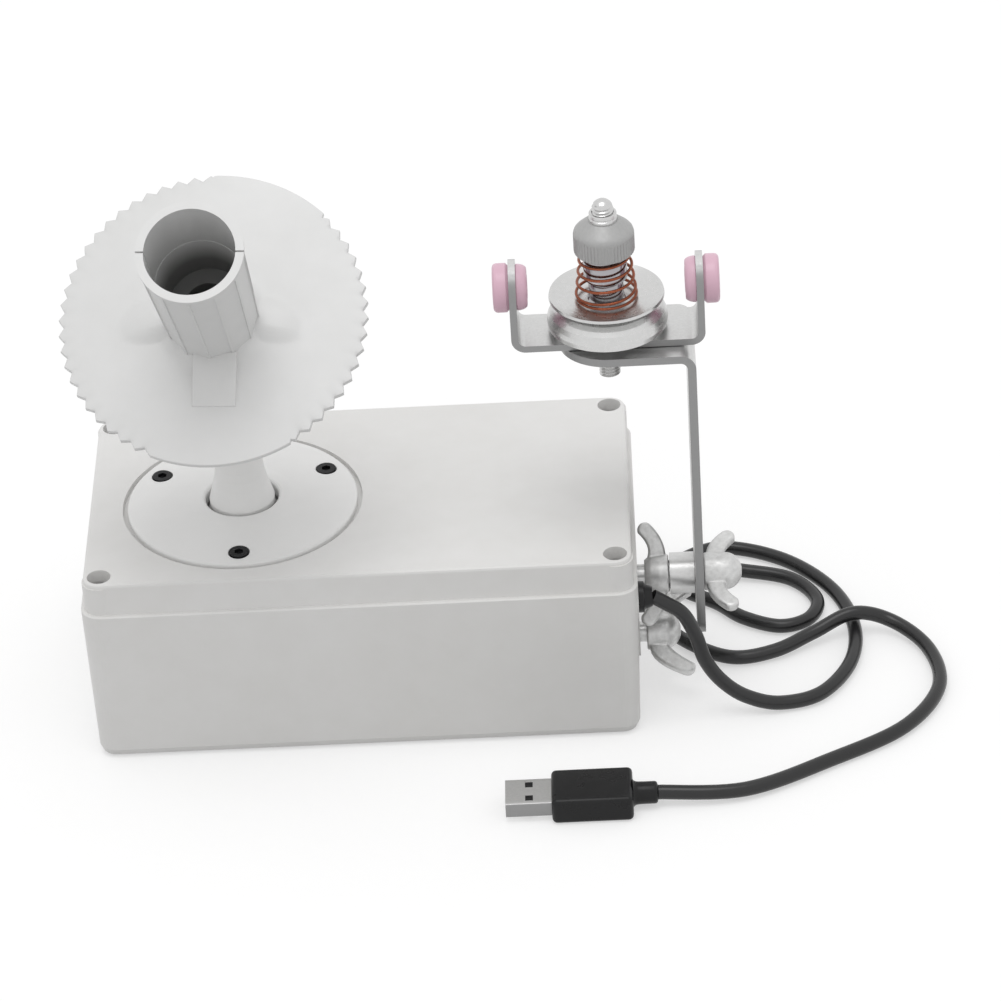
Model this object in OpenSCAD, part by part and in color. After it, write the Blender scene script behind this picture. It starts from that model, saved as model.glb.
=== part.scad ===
// Electric yarn ball winder with a tilted spool, a planetary bevel head and a tension arm.
// Origin under the middle of the box: X points to the tension arm, -Y to the front, Z up.

/* [Box] */
// Length of the box, left to right
box_len = 158; // [154:1:180]
// Depth of the box, front to back
box_dep = 90; // [86:1:110]
// Height of the base shell up to the lid seam
base_h = 50; // [49:1:60]
// Height of the lid above the seam
lid_h = 10; // [9.5:0.5:14]
// Wall thickness of the base and the lid
wall = 2.5; // [2:0.1:3]
// Radius of the upright corners
corner_r = 6; // [4.5:0.5:7.5]
// How far each side leans in at the bottom
draft = 1; // [0.2:0.1:1.5]
// Distance of the lid screws from the sides
lid_screw_inset = 6; // [5.5:0.5:9]

/* [Cover plate] */
// Diameter of the round cover plate
plate_d = 66.4; // [62:0.2:72]
// Rise of the cover plate from its rim to its opening
plate_rise = 1.6; // [0.6:0.2:4]
// Diameter of the opening for the neck
plate_hole_d = 21; // [19:0.5:24]
// Radius of the circle of cover screws
plate_screw_r = 27.5; // [24:0.5:29]

/* [Head] */
// Place of the column, left or right of the middle
col_x = -33.5; // [-38:0.5:-30]
// Place of the column, front or back of the middle
col_y = -3.5; // [-6:0.5:6]
// Height of the axis crossing above the lid
crossing_h = 46; // [44:1:60]
// Tilt of the spool axis away from upright
tilt = 36.5; // [30:0.5:42]
// Turn of the head as it stands
head_yaw = -4; // [-20:1:20]
// Diameter of the hollow column shaft
shaft_d = 12; // [11:0.5:13]
// Diameter of the fixed centre rod
rod_d = 6; // [5:0.5:6.5]
// Outside diameter of the column bearings
bearing_d = 28; // [26:1:30]
// Width of the column bearings
bearing_w = 8; // [7:0.5:9]

/* [Gears] */
// Teeth of the drive gear on the column
drive_teeth = 48; // [42:2:54]
// Teeth of the motor pinion
pinion_teeth = 16; // [14:2:20]
// Module of the drive gears
drive_module = 1; // [0.9:0.05:1.05]
// Face width of the drive gears
drive_face = 6; // [5:0.5:7]
// Teeth of the fixed sun bevel gear
sun_teeth = 18; // [16:1:19]
// Teeth of the planet bevel gear
planet_teeth = 20; // [18:1:21]
// Cone distance of the bevel gears
cone_dist = 10.1; // [9.5:0.1:10.6]

/* [Spool] */
// Diameter of the spool disc inside its rim teeth
disc_d = 83.4; // [70:0.2:100]
// Number of rim teeth that catch the yarn end
rim_teeth = 58; // [40:2:72]
// Height of the rim teeth
rim_tooth_h = 1.6; // [1:0.1:2.5]
// Distance from the axis crossing to the front of the disc
disc_out = 37; // [36:0.5:50]
// Outside diameter of the core tube
tube_d = 29.6; // [28:0.2:34]
// Bore of the core tube
tube_bore = 25; // [22:0.2:25.4]
// Length of the core tube in front of the disc
tube_len = 47; // [40:1:70]

/* [Side bolts] */
// Diameter of the side bolts
bolt_d = 6; // [5:0.5:6]
// Place of the side bolts, front or back of the middle
bolt_y = -15; // [-16:0.5:-10]
// Height of the lower side bolt
bolt_low_z = 16; // [15.5:0.5:17]
// Distance between the side bolts
bolt_gap = 20; // [19:0.5:22]
// Reach of a wing from its bolt's axis
wing_r = 15; // [12:0.5:15]

/* [Tension arm] */
// Width of the flat bar
bar_w = 28; // [24:1:32]
// Thickness of the flat bar
bar_t = 2.4; // [2:0.1:3]
// Distance from the box to the upright leg
arm_gap = 16.6; // [16.4:0.2:20]
// Height of the top of the flat leg
arm_z = 118; // [100:1:140]
// Distance from the upright leg's outer face to the post
arm_reach = 24; // [22:1:40]
// Travel of the upright leg along its slot
slot_travel = 6; // [4:0.5:7]

/* [Tensioner] */
// Width of the eyelet bracket over its ears
bracket_w = 54; // [48:1:64]
// Depth of the eyelet bracket
bracket_dep = 17; // [15:0.5:20]
// Height of the bracket's ears
ear_h = 22; // [21:0.2:28]
// Thickness of the bracket's sheet
sheet = 2; // [1.6:0.1:2.4]
// Bore of the thread eyelets
eyelet_bore = 7; // [5:0.2:8]
// Diameter of the post
post_d = 6; // [5:0.5:6]
// Height of the post above the bracket
post_h = 41; // [40:1:50]
// Diameter of the upper tension disc
dish_d = 32.4; // [28:0.2:36]
// Diameter of the tension nut
nut_d = 17; // [15:0.5:20]
// Turns of the tension spring
spring_turns = 4; // [3:1:6]
// Wire thickness of the tension spring
spring_wire = 1; // [0.8:0.1:1.2]

/* [Cord] */
// Diameter of the cord
cord_d = 4.2; // [3.6:0.1:4.4]

/* [Hidden] */
$fn = 64;

// Clearances
run_gap = 0.05;
free_gap = 0.3;
fit_gap = 0.02;
overlap = 1;

// Colours
white_body = [0.86, 0.86, 0.85];
white_spool = [0.9, 0.9, 0.89];
steel = [0.66, 0.66, 0.66];
bright = [0.8, 0.8, 0.82];
cast_grey = [0.62, 0.62, 0.61];
black_soft = [0.1, 0.1, 0.1];
black_screw = [0.14, 0.14, 0.15];
brass_tone = [0.75, 0.6, 0.32];
bronze_tone = [0.65, 0.45, 0.28];
copper_tone = [0.72, 0.4, 0.25];
pink_ceramic = [0.82, 0.62, 0.68];
board_green = [0.1, 0.36, 0.2];

// Box heights and seats
lid_top = base_h + lid_h;
ledge_round = 0.4;
rim_out = 1.2;
side_wall = wall + 0.6;
bottom_r = 3;
recess_d = 1.6;
recess_gap = 1.4;
ledge_t = 2;
bearing_top = lid_top - recess_d;
bearing_bottom = bearing_top - bearing_w;
ledge_bottom = bearing_bottom - ledge_t;
bearing_wall = 3;
bearing_bore = shaft_d + 2 * run_gap;
low_bearing_z = 16;
low_bearing_top = low_bearing_z + bearing_w;
rod_foot_z = 4;
rod_seat_z = 10;
screw_x = box_len / 2 - lid_screw_inset;
screw_y = box_dep / 2 - lid_screw_inset;
lid_screw_r = 1.5;
lid_boss_r = 3.8;
boss_sink = 0.3;
lid_hole_r = 3.4;
lid_hole_depth = 6;
lid_head_r = 2.8;
lid_head_h = 2;
lid_screw_len = 10;

// Drive train heights
gear_top = ledge_bottom - 0.6;
gear_z = gear_top - drive_face;
gear_hub_r = shaft_d / 2 + 3;
gear_hub_h = 6;
drive_centres = (drive_teeth + pinion_teeth) / 2 * drive_module;
motor_x = col_x + drive_centres;
motor_r = 10;
gearbox_h = 15;
mount_t = 2;
mount_top = gear_z - 2;
mount_z = mount_top - mount_t;
motor_shaft_r = 2;
motor_boss_r = 3.5;
mount_w = 24;
mount_half = 20;
mount_foot = 9;
mount_screw_r = 1.25;
foot_screw_r = 1.5;
foot_screw_at = mount_half + mount_foot / 2;

// Head geometry along the tilted axis, from the axis crossing
crossing_z = lid_top + crossing_h;
shaft_angle = 180 - tilt;
sun_angle = atan2(sin(shaft_angle), planet_teeth / sun_teeth + cos(shaft_angle));
planet_angle = shaft_angle - sun_angle;
bevel_face = 4;
bevel_module = 2 * cone_dist * sin(sun_angle) / sun_teeth;
cavity_r = cone_dist + 1.1;
housing_wall = 2.3;
housing_r = cavity_r + housing_wall;
cap_seat = 5.5;
cap_flange_t = 3;
cap_r = sqrt(housing_r * housing_r - cap_seat * cap_seat);
boss_r = 7.5;
boss_end = 27;
bush_r = 5;
bush_len = 6;
bush_flange = 1.5;
bush_flange_r = 7;
spindle_r = 3;
spindle_start = 1.5;
planet_back = 5;
sun_back = 6.6;
sun_hub_r = 5;
sun_hub_end = 10;
neck_top = crossing_z - 18;
socket_r = 8;
socket_top = crossing_z - cavity_r + 1;
neck_low_r = plate_hole_d / 2 - 1.1;
neck_waist_r = shaft_d / 2 + 0.8;
neck_flare_h = 14;
cap_screw_r = 1.2;
cap_lug_r = 2.8;
cap_lug_h = 4;
cap_screw_circle = cap_r + 1.9;

// Spool sizes
disc_t = 5;
disc_back = disc_out - disc_t;
hub_start = boss_end + bush_flange + free_gap;
hub_r = 9;
rim_root = 0.3;
rim_blunt = 0.35;
rim_tooth_back = disc_back + 0.8;
disc_edge = 1.2;
tube_r = tube_d / 2;
rib_count = 12;
rib_w = 0.7;
rib_out = 0.25;
rib_in = 0.8;
tube_foot_r = 12.9;
tube_lip = 1.4;
foot_bore_r = tube_foot_r + rib_out + 0.2;
bore_deep = 22;
low_bore_r = 10.8;
slit_w = 0.5;
slit_len = 30;
tube_floor = 9;
nut_seat = 3;
nut_pocket_r = 6.5;
tongue_w = 12.1;
tongue_len = 13;
tongue_shift = 1.4;
tongue_t = 0.8;
lug_r = 19.2;
lug_len = 5;
lug_rise = 2;
lug_skirt_r = 57;
lug_skirt_rise = 1.26;
lug_angles = [-15, 90, 195];
spool_nut_r = 5;
spool_nut_h = 4;

// Side hardware, seen along X from the box's right side
wall_x = box_len / 2;
pad_r = 7;
pad_in = 5;
bolt_up_z = bolt_low_z + bolt_gap;
bolt_head_r = 5.4;
bolt_head_t = 4;
hub_base_r = 5.4;
hub_top_r = 4.4;
nut_hub_h = 7;
wing_t = 3;
low_nut_x = wall_x + 2;
low_nut_h = 13.6;
inner_nut_x = wall_x + 0.5;
inner_nut_h = 8.6;
bar_x = wall_x + arm_gap;
bar_out = bar_x + bar_t;
bush_start = inner_nut_x + inner_nut_h + free_gap;
bush_spacer_r = 6;
slot_bush_r = 4.2;
outer_nut_x = bar_out + free_gap;
outer_nut_h = 9.5;
upper_bolt_end = outer_nut_x + nut_hub_h + 2;
lower_bolt_end = low_nut_x + nut_hub_h + 1;
inner_wing_angle = 56;
lower_wing_angle = 25;
outer_wing_angle = 13;

// Speed control on the back wall
control_end_gap = 34;
control_x = wall_x - control_end_gap;
control_z = 28;
control_r = 8;
control_len = 9;
control_bush_r = 3.5;
control_pad_r = 9;
back_y = box_dep / 2;
control_pad_y = back_y - wall - 3;
control_shaft_r = 3;
control_nut_r = 5.5;
control_nut_t = 2;
knob_start = back_y + control_nut_t + 0.8;
knob_len = 14;
knob_skirt = 2;
knob_r = 9;

// Control board
board_end_gap = 11;
board_len = 44;
board_x = wall_x - board_end_gap - board_len / 2;
board_y = -2;
board_dep = 36;
board_t = 1.6;
board_z = wall + 5;
board_hole_in = 3.5;
post_r = 3;

// Tension arm and tensioner
post_x = bar_out - arm_reach;
bend_r = 2;
bar_low_z = bolt_up_z - slot_bush_r - slot_travel - 4;
bar_corner = 6;
slot_w = 2 * (slot_bush_r + run_gap);
bracket_z = arm_z + 0.2;
sheet_top = bracket_z + sheet;
ear_r = bracket_dep / 2;
eyelet_lift = 0.8;
ear_z = sheet_top + ear_h - ear_r + eyelet_lift;
ear_hole_r = eyelet_bore / 2 + 1.4;
eyelet_r = eyelet_bore / 2 + 3.4;
eyelet_t = 4.5;
ring_r = eyelet_bore / 2 + 2.6;
ring_t = 3.1;
post_r2 = post_d / 2;
shoulder_r = 5;
dish_t = 0.8;
low_dish_top = sheet_top + 8.9;
shoulder_top = low_dish_top - dish_t - free_gap;
up_dish_low = low_dish_top + free_gap;
up_dish_top = up_dish_low + dish_t;
dish_flat_r = dish_d / 2 - 5.7;
dish_flare = 1.5;
low_dish_r = dish_d / 2 + 0.7;
dish_roll = 5.5;
spring_low_r = 8.4;
spring_top_r = 6.9;
nut_low = up_dish_top + 14.7;
guide_low = up_dish_top + 6.5;
guide_r = 5.5;
nut_band = 5.8;
nut_cone = 4.8;
nut_top_r = post_r2 + 1;
post_low_z = arm_z - bar_t - 10.4;
post_nut_r = 5.6;
post_nut_h = 5;

// Cord and plug
grommet_side_gap = 10;
grommet_y = grommet_side_gap - box_dep / 2;
grommet_z = 42;
grommet_r = 3.6;
grommet_len = 4;
grommet_in = 3.5;
plug_y = -77;
plug_z = 4;
plug_boot_x = 75;
plug_boot_len = 7;
grip_len = 23;
grip_w = 16;
grip_h = 8;
shell_len = 13;
shell_w = 12;
shell_h = 4.5;
shell_t = 0.4;

// Route of the cord from the grommet to the plug, chosen by hand
cord_route = [
    [wall_x + grommet_len, grommet_y, grommet_z], [86.6, -35, 39.5], [91.4, -35, 35.5], [94.8, -35, 27.9],
    [97.3, -35, 19], [101.9, -35, 11.4], [108.8, -35, 5.6], [118.5, -34.8, 2.6], [130.6, -30.4, 2.3],
    [139.9, -15.6, 2.3], [142, 3, 2.2], [136.5, 22.6, 2.2], [123, 39, 2.2], [105.3, 46.8, 2.2],
    [92.4, 41, 2.2], [89.1, 32.9, 2.2], [92.5, 25.3, 2.2], [102.1, 17.8, 2.2], [109.8, 9.5, 2.2],
    [120.4, 4.3, 2.2], [129.1, 7.7, 2.2], [131.8, 17.5, 2.2], [124.3, 28.7, 2.3], [108.6, 33.3, 3.2],
    [96.2, 33.2, 6.4], [87, 29.4, 6.8], [83.3, 20.4, 5], [85.5, 8.4, 2.8], [94, -3, 2.3],
    [105.7, -10.5, 2.2], [118.3, -8.5, 2.5], [129.9, -2, 3.8], [141.8, 2.5, 6.9], [153.4, 1.5, 4],
    [163, -11, 2.4], [164.5, -29.9, 2.2], [153.3, -48.6, 2.2], [131.7, -62.7, 2.2], [106.8, -75.8, 2.8],
    [plug_boot_x + plug_boot_len, plug_y, plug_z]];
cord_sides = 10;

// Sums, directions and tube sweeps
function unit(v) = v / norm(v);
function mix(a, b, t) = a + (b - a) * t;
function route_step(p, i) = p[min(i + 1, len(p) - 1)] - p[max(i - 1, 0)];
// A point on the smooth curve between two route points, u from 0 to 1
function between(p, i, u) =
    let (a = p[i], b = p[i + 1], da = route_step(p, i) / 2, db = route_step(p, i + 1) / 2)
    (2 * a - 2 * b + da + db) * u * u * u + (3 * b - 3 * a - 2 * da - db) * u * u + da * u + a;
function smooth(p) =
    [for (i = [0 : len(p) - 2]) each [p[i], between(p, i, 0.5)], p[len(p) - 1]];
function side_of(t) = unit(cross(t, abs(t[2]) > 0.9 ? [1, 0, 0] : [0, 0, 1]));
// Corners of one ring of a tube round a point, square to the run
function tube_ring(c, t, r, sides) =
    let (s = side_of(t), u = cross(s, t))
    [for (k = [0 : sides - 1]) c + r * (cos(360 * k / sides) * s + sin(360 * k / sides) * u)];
function end_run(p, i) = unit(route_step(p, i));
function tube_points(p, r, sides, first, last) =
    [for (i = [0 : len(p) - 1])
        each tube_ring(p[i], i == 0 ? first : i == len(p) - 1 ? last : end_run(p, i), r, sides)];
function tube_faces(rings, sides) = concat(
    [for (i = [0 : rings - 2], k = [0 : sides - 1])
        each [[i * sides + k, i * sides + (k + 1) % sides, (i + 1) * sides + k],
            [i * sides + (k + 1) % sides, (i + 1) * sides + (k + 1) % sides, (i + 1) * sides + k]]],
    [for (k = [1 : sides - 2]) [0, k + 1, k]],
    [for (k = [1 : sides - 2]) [(rings - 1) * sides, (rings - 1) * sides + k, (rings - 1) * sides + k + 1]]);

module tube_along(p, r, sides, first, last) {
    polyhedron(tube_points(p, r, sides, first, last), tube_faces(len(p), sides));
}

// Spring wire centre line, one conical coil from the dish up to the nut
spring_rise = nut_low - up_dish_top - spring_wire - 2 * free_gap;
spring_base = up_dish_top + spring_wire / 2 + free_gap;
curl_rings = 8;
spring_line = [for (i = [0 : spring_turns * curl_rings])
    let (t = i / (spring_turns * curl_rings), a = 360 * i / curl_rings - 60,
        r = mix(spring_low_r, spring_top_r, t))
    [post_x + r * cos(a), bolt_y + r * sin(a), spring_base + spring_rise * t]];
spring_gap = min([for (i = [0 : len(spring_line) - 1], j = [0 : len(spring_line) - 1])
    if (j > i + curl_rings / 2) norm(spring_line[j] - spring_line[i])]) - spring_wire;
echo(spring_least_gap = spring_gap);

// Shared shapes
module rounded_rect(l, w, r) {
    square([l - 2 * r, w], center = true);
    square([l, w - 2 * r], center = true);
    for (x = [-1, 1], y = [-1, 1]) translate([x * (l / 2 - r), y * (w / 2 - r)]) circle(r);
}

module box_slice(z, inset) {
    translate([0, 0, z]) linear_extrude(0.01)
        rounded_rect(box_len - 2 * inset, box_dep - 2 * inset, corner_r - min(inset, corner_r / 2), $fn = 32);
}

module on_column() { translate([col_x, col_y, 0]) children(); }

// The head's own frame: origin at the axis crossing, Z along the tilted spool axis
module on_spool_axis() {
    translate([col_x, col_y, crossing_z]) rotate([0, 0, head_yaw]) rotate([tilt, 0, 0]) children();
}

module along_x(x, y, z) { translate([x, y, z]) rotate([0, 90, 0]) children(); }

module tube_solid(r, bore_r, h) {
    difference() {
        cylinder(r = r, h = h);
        translate([0, 0, -overlap]) cylinder(r = bore_r, h = h + 2 * overlap);
    }
}

module hex_nut(r, bore_r, h) {
    difference() {
        cylinder(r = r, h = h, $fn = 6);
        translate([0, 0, -overlap]) cylinder(r = bore_r, h = h + 2 * overlap);
    }
}

module at_lid_corners() {
    for (x = [-1, 1], y = [-1, 1]) translate([x * screw_x, y * screw_y, 0]) children();
}

module at_plate_screws() {
    on_column() for (a = [30, 150, 270]) rotate([0, 0, a]) translate([plate_screw_r, 0, 0]) children();
}

module at_board_holes() {
    for (x = [-1, 1], y = [-1, 1])
        translate([board_x + x * (board_len / 2 - board_hole_in),
            board_y + y * (board_dep / 2 - board_hole_in), 0]) children();
}

module at_cap_screws() {
    on_spool_axis() for (a = [30, 150, 270]) rotate([0, 0, a]) translate([cap_screw_circle, 0, 0]) children();
}

// A socket-head screw, its head on the seat at z = 0 and its shank below
module cap_head_screw(r, head_r, head_h, l) {
    difference() {
        cylinder(r = head_r, h = head_h);
        translate([0, 0, head_h / 2]) cylinder(r = head_r * 0.5, h = head_h, $fn = 6);
    }
    translate([0, 0, -l]) cylinder(r = r, h = l + head_h / 4);
}

// A spur gear outline with straight-flanked teeth thinned for backlash
module spur_outline(n, m) {
    pitch_r = n * m / 2;
    root_r = pitch_r - 1.25 * m;
    tip_r = pitch_r + 0.85 * m;
    step = 360 / n;
    polygon([for (i = [0 : n - 1])
        each [for (k = [[root_r, -0.33], [tip_r, -0.13], [tip_r, 0.13], [root_r, 0.33]])
            k[0] * [cos((i + k[1]) * step), sin((i + k[1]) * step)]]]);
}

// One bevel tooth: its edges all run to the apex at the origin
function cone_point(dist, polar, turn) =
    dist * [sin(polar) * cos(turn), sin(polar) * sin(turn), cos(polar)];
module bevel_tooth(angle, step) {
    tip = angle + atan(0.8 * bevel_module / cone_dist);
    root = angle - atan(1.5 * bevel_module / cone_dist);
    corners = [for (d = [cone_dist - bevel_face, cone_dist])
        each [cone_point(d, root, -0.29 * step), cone_point(d, root, 0.29 * step),
            cone_point(d, tip, 0.12 * step), cone_point(d, tip, -0.12 * step)]];
    polyhedron(corners, [[3, 2, 1, 0], [4, 5, 6, 7], [1, 5, 4, 0], [2, 6, 5, 1], [3, 7, 6, 2], [0, 4, 7, 3]]);
}

// A bevel gear with its apex at the origin, opening along +Z
module bevel_gear(n, angle, back, hub_r, hub_end, bore_r) {
    root = angle - atan(1.3 * bevel_module / cone_dist);
    near = cone_dist - bevel_face;
    step = 360 / n;
    difference() {
        union() {
            rotate_extrude()
                polygon([[0, near * cos(root)], [near * sin(root), near * cos(root)],
                    [cone_dist * sin(root), cone_dist * cos(root)], [cone_dist * sin(root), back],
                        [0, back]]);
            for (i = [0 : n - 1]) rotate([0, 0, i * step]) bevel_tooth(angle, step);
            translate([0, 0, back - 0.5]) cylinder(r = hub_r, h = hub_end - back + 0.5);
        }
        cylinder(r = bore_r, h = 3 * cone_dist, center = true);
    }
}

// A cast wing nut standing on z = 0, its two wings spread along X and rising to height h
module wing_nut(h) {
    difference() {
        union() {
            cylinder(r1 = hub_base_r, r2 = hub_top_r, h = nut_hub_h);
            for (s = [0, 180]) rotate([90, 0, s]) linear_extrude(wing_t, center = true) {
                polygon([[hub_top_r - 1.5, 0.6], [hub_base_r, 0.6], [wing_r - 0.8, h - 4.4],
                    [wing_r - 3.6, h - 0.9],
                    [hub_top_r - 1.5, nut_hub_h - 0.6]]);
                translate([wing_r - 2.3, h - 2.3]) circle(2.3, $fn = 32);
            }
        }
        translate([0, 0, -overlap]) cylinder(r = bolt_d / 2 + run_gap, h = nut_hub_h + 2 * overlap);
    }
}

// Box pieces
module base_outside() {
    hull() {
        box_slice(0, draft + bottom_r);
        box_slice(bottom_r * 0.3, draft + bottom_r * 0.3);
        box_slice(bottom_r, draft);
        box_slice(base_h - ledge_round, 0);
        box_slice(base_h - 0.01, ledge_round);
    }
}

module base_cavity() {
    hull() {
        box_slice(wall, draft + side_wall + 1);
        box_slice(base_h + overlap, side_wall);
    }
}

module side_pads() {
    for (z = [bolt_low_z, bolt_up_z]) along_x(wall_x - pad_in, bolt_y, z) cylinder(r = pad_r, h = pad_in);
    along_x(wall_x - grommet_in, grommet_y, grommet_z) cylinder(r = grommet_r + 2, h = grommet_in);
}

module side_holes() {
    for (z = [bolt_low_z, bolt_up_z])
        along_x(wall_x - pad_in - overlap, bolt_y, z)
            cylinder(r = bolt_d / 2 + run_gap, h = pad_in + 2 * overlap);
    along_x(wall_x - grommet_in - 0.5, grommet_y, grommet_z)
        cylinder(r = grommet_r, h = grommet_in + 0.5 + overlap);
}

module control_pad() {
    translate([control_x, control_pad_y, control_z]) rotate([-90, 0, 0])
        cylinder(r = control_pad_r, h = back_y - control_pad_y);
}

module box_base() {
    color(white_body) difference() {
        union() {
            difference() {
                base_outside();
                base_cavity();
            }
            at_lid_corners() translate([0, 0, wall - boss_sink])
                cylinder(r = lid_boss_r, h = base_h - 1 - wall + boss_sink);
            on_column() translate([0, 0, wall / 2])
                cylinder(r = bearing_d / 2 + bearing_wall, h = low_bearing_top - wall / 2);
            at_board_holes() translate([0, 0, wall / 2]) cylinder(r = post_r, h = board_z - wall / 2);
            side_pads();
            control_pad();
        }
        at_lid_corners() translate([0, 0, base_h - lid_screw_len - 1])
            cylinder(r = lid_screw_r, h = 2 * base_h);
        on_column() {
            translate([0, 0, low_bearing_z]) cylinder(r = bearing_d / 2, h = base_h);
            translate([0, 0, rod_seat_z]) cylinder(r = shaft_d / 2 + 3, h = base_h);
            translate([0, 0, rod_foot_z]) cylinder(r = rod_d / 2, h = base_h);
        }
        at_board_holes() translate([0, 0, wall]) cylinder(r = 1.2, h = board_z);
        side_holes();
        translate([control_x, control_pad_y - overlap, control_z]) rotate([-90, 0, 0])
            cylinder(r = control_bush_r, h = back_y);
        for (s = [-1, 1]) translate([motor_x, col_y + s * foot_screw_at, wall / 2])
            cylinder(r = foot_screw_r, h = wall);
    }
}

module lid_outside() {
    hull() {
        box_slice(base_h, rim_out);
        box_slice(lid_top - 0.8, rim_out + 0.2);
        box_slice(lid_top - 0.25, rim_out + 0.4);
        box_slice(lid_top - 0.01, rim_out + 1);
    }
}

module box_lid() {
    color(white_body) difference() {
        union() {
            difference() {
                lid_outside();
                translate([0, 0, base_h - overlap]) linear_extrude(lid_h - wall + overlap)
                    rounded_rect(box_len - 2 * (rim_out + wall), box_dep - 2 * (rim_out + wall),
                        corner_r - wall);
            }
            at_lid_corners() translate([0, 0, base_h]) cylinder(r = lid_hole_r + 1.6, h = lid_h - wall / 2);
            on_column() translate([0, 0, ledge_bottom])
                cylinder(r = bearing_d / 2 + bearing_wall, h = lid_top - wall / 2 - ledge_bottom);
            at_plate_screws() translate([0, 0, base_h + 1]) cylinder(r = 3, h = lid_h - wall / 2 - 1);
        }
        on_column() {
            translate([0, 0, bearing_top]) cylinder(r = plate_d / 2 + recess_gap, h = lid_h);
            translate([0, 0, bearing_bottom]) cylinder(r = bearing_d / 2, h = lid_h);
            translate([0, 0, ledge_bottom - overlap]) cylinder(r = bearing_d / 2 - 2, h = lid_h);
        }
        at_lid_corners() {
            translate([0, 0, lid_top - lid_hole_depth]) cylinder(r = lid_hole_r, h = lid_h);
            translate([0, 0, base_h - overlap]) cylinder(r = lid_screw_r + run_gap, h = lid_h);
        }
        at_plate_screws() translate([0, 0, base_h + 2]) cylinder(r = 1.5, h = lid_h);
    }
}

module lid_screws() {
    color(steel) at_lid_corners() translate([0, 0, lid_top - lid_hole_depth])
        cap_head_screw(lid_screw_r - fit_gap, lid_head_r, lid_head_h, lid_h - lid_hole_depth + 8);
}

// Rim, cone and opening of the cover plate, from the seat in the lid upward
module cover_plate() {
    rim_r = plate_d / 2;
    rim_top = recess_d + 0.6;
    mouth_r = plate_hole_d / 2;
    mouth_z = rim_top + plate_rise;
    color(white_body) on_column() translate([0, 0, bearing_top]) difference() {
        rotate_extrude() polygon(concat(
            [[mouth_r, 0], [rim_r, 0], [rim_r, rim_top - 0.8]],
            [for (a = [0 : 30 : 90]) [rim_r - 0.8 + 0.8 * cos(a), rim_top - 0.8 + 0.8 * sin(a)]],
            [[mouth_r + 5, mouth_z - 0.5]],
            [for (a = [90 : 30 : 180]) [mouth_r + 1 + cos(a), mouth_z - 1 + sin(a)]]));
        for (a = [30, 150, 270]) rotate([0, 0, a]) translate([plate_screw_r, 0, 0]) {
            translate([0, 0, -overlap]) cylinder(r = 1.6, h = mouth_z + 2 * overlap);
            translate([0, 0, recess_d - 0.6]) cylinder(r = 3.1, h = mouth_z);
        }
    }
}

module cover_screws() {
    color(black_screw) at_plate_screws() translate([0, 0, bearing_top + recess_d - 0.6])
        cap_head_screw(1.5 - fit_gap, 2.8, 1.8, 6);
}

module column_bearing() {
    difference() {
        tube_solid(bearing_d / 2 - fit_gap, bearing_bore / 2, bearing_w);
        for (z = [-overlap, bearing_w - 0.6]) translate([0, 0, z])
            tube_solid(bearing_d / 2 - 2.6, shaft_d / 2 + 2, 0.6 + overlap);
    }
}

module column_bearings() {
    color(bright) on_column() for (z = [low_bearing_z, bearing_bottom]) translate([0, 0, z]) column_bearing();
}

module centre_rod() {
    color(steel) on_column() translate([0, 0, rod_foot_z])
        cylinder(r = rod_d / 2 - fit_gap, h = crossing_z - sun_back - rod_foot_z);
}

module sun_gear() {
    color(brass_tone) translate([col_x, col_y, crossing_z]) rotate([0, 0, head_yaw - 90])
        rotate([180, 0, 0]) rotate([0, 0, 180 / sun_teeth])
            bevel_gear(sun_teeth, sun_angle, sun_back, sun_hub_r, sun_hub_end, rod_d / 2);
}

// Motor with its gearbox, standing on the floor under the bracket
module motor() {
    color(steel) translate([motor_x, col_y, 0]) {
        difference() {
            union() {
                translate([0, 0, wall + 1.5]) cylinder(r = motor_r, h = mount_z - gearbox_h - wall - 1.5);
                translate([0, 0, wall]) cylinder(r = 3, h = 2);
                translate([0, 0, mount_z - gearbox_h]) cylinder(r = motor_r + 0.4, h = gearbox_h);
                translate([0, 0, mount_z - 0.5]) cylinder(r = motor_boss_r, h = mount_t + 0.5);
            }
            translate([0, 0, mount_z - 8]) cylinder(r = motor_shaft_r + run_gap, h = 20);
            for (s = [-1, 1]) translate([s * 6, 0, mount_z - 5]) cylinder(r = mount_screw_r, h = 10);
        }
    }
}

module motor_bracket() {
    leg_x = mount_half;
    color(bright) translate([motor_x, col_y, 0]) difference() {
        rotate([90, 0, 90]) linear_extrude(mount_w, center = true) {
            translate([-leg_x, mount_z]) square([2 * leg_x, mount_t]);
            for (s = [0, 1]) mirror([s, 0]) {
                translate([leg_x - mount_t, wall]) square([mount_t, mount_top - wall]);
                translate([leg_x - mount_t, wall]) square([mount_foot + mount_t, mount_t]);
            }
        }
        translate([0, 0, mount_z - overlap]) cylinder(r = motor_boss_r + run_gap, h = mount_t + 2 * overlap);
        for (s = [-1, 1]) {
            translate([s * 6, 0, mount_z - overlap])
                cylinder(r = mount_screw_r + 0.1, h = mount_t + 2 * overlap);
            translate([0, s * foot_screw_at, 0]) cylinder(r = foot_screw_r + 0.1, h = 2 * wall + mount_t);
        }
    }
}

module motor_screws() {
    color(steel) translate([motor_x, col_y, 0]) for (s = [-1, 1]) {
        translate([s * 6, 0, mount_top]) cap_head_screw(mount_screw_r - fit_gap, 2.2, 1.2, 5);
        translate([0, s * foot_screw_at, wall + mount_t])
            cap_head_screw(foot_screw_r - fit_gap, 2.8, 1.6, mount_t + wall / 2);
    }
}

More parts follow.
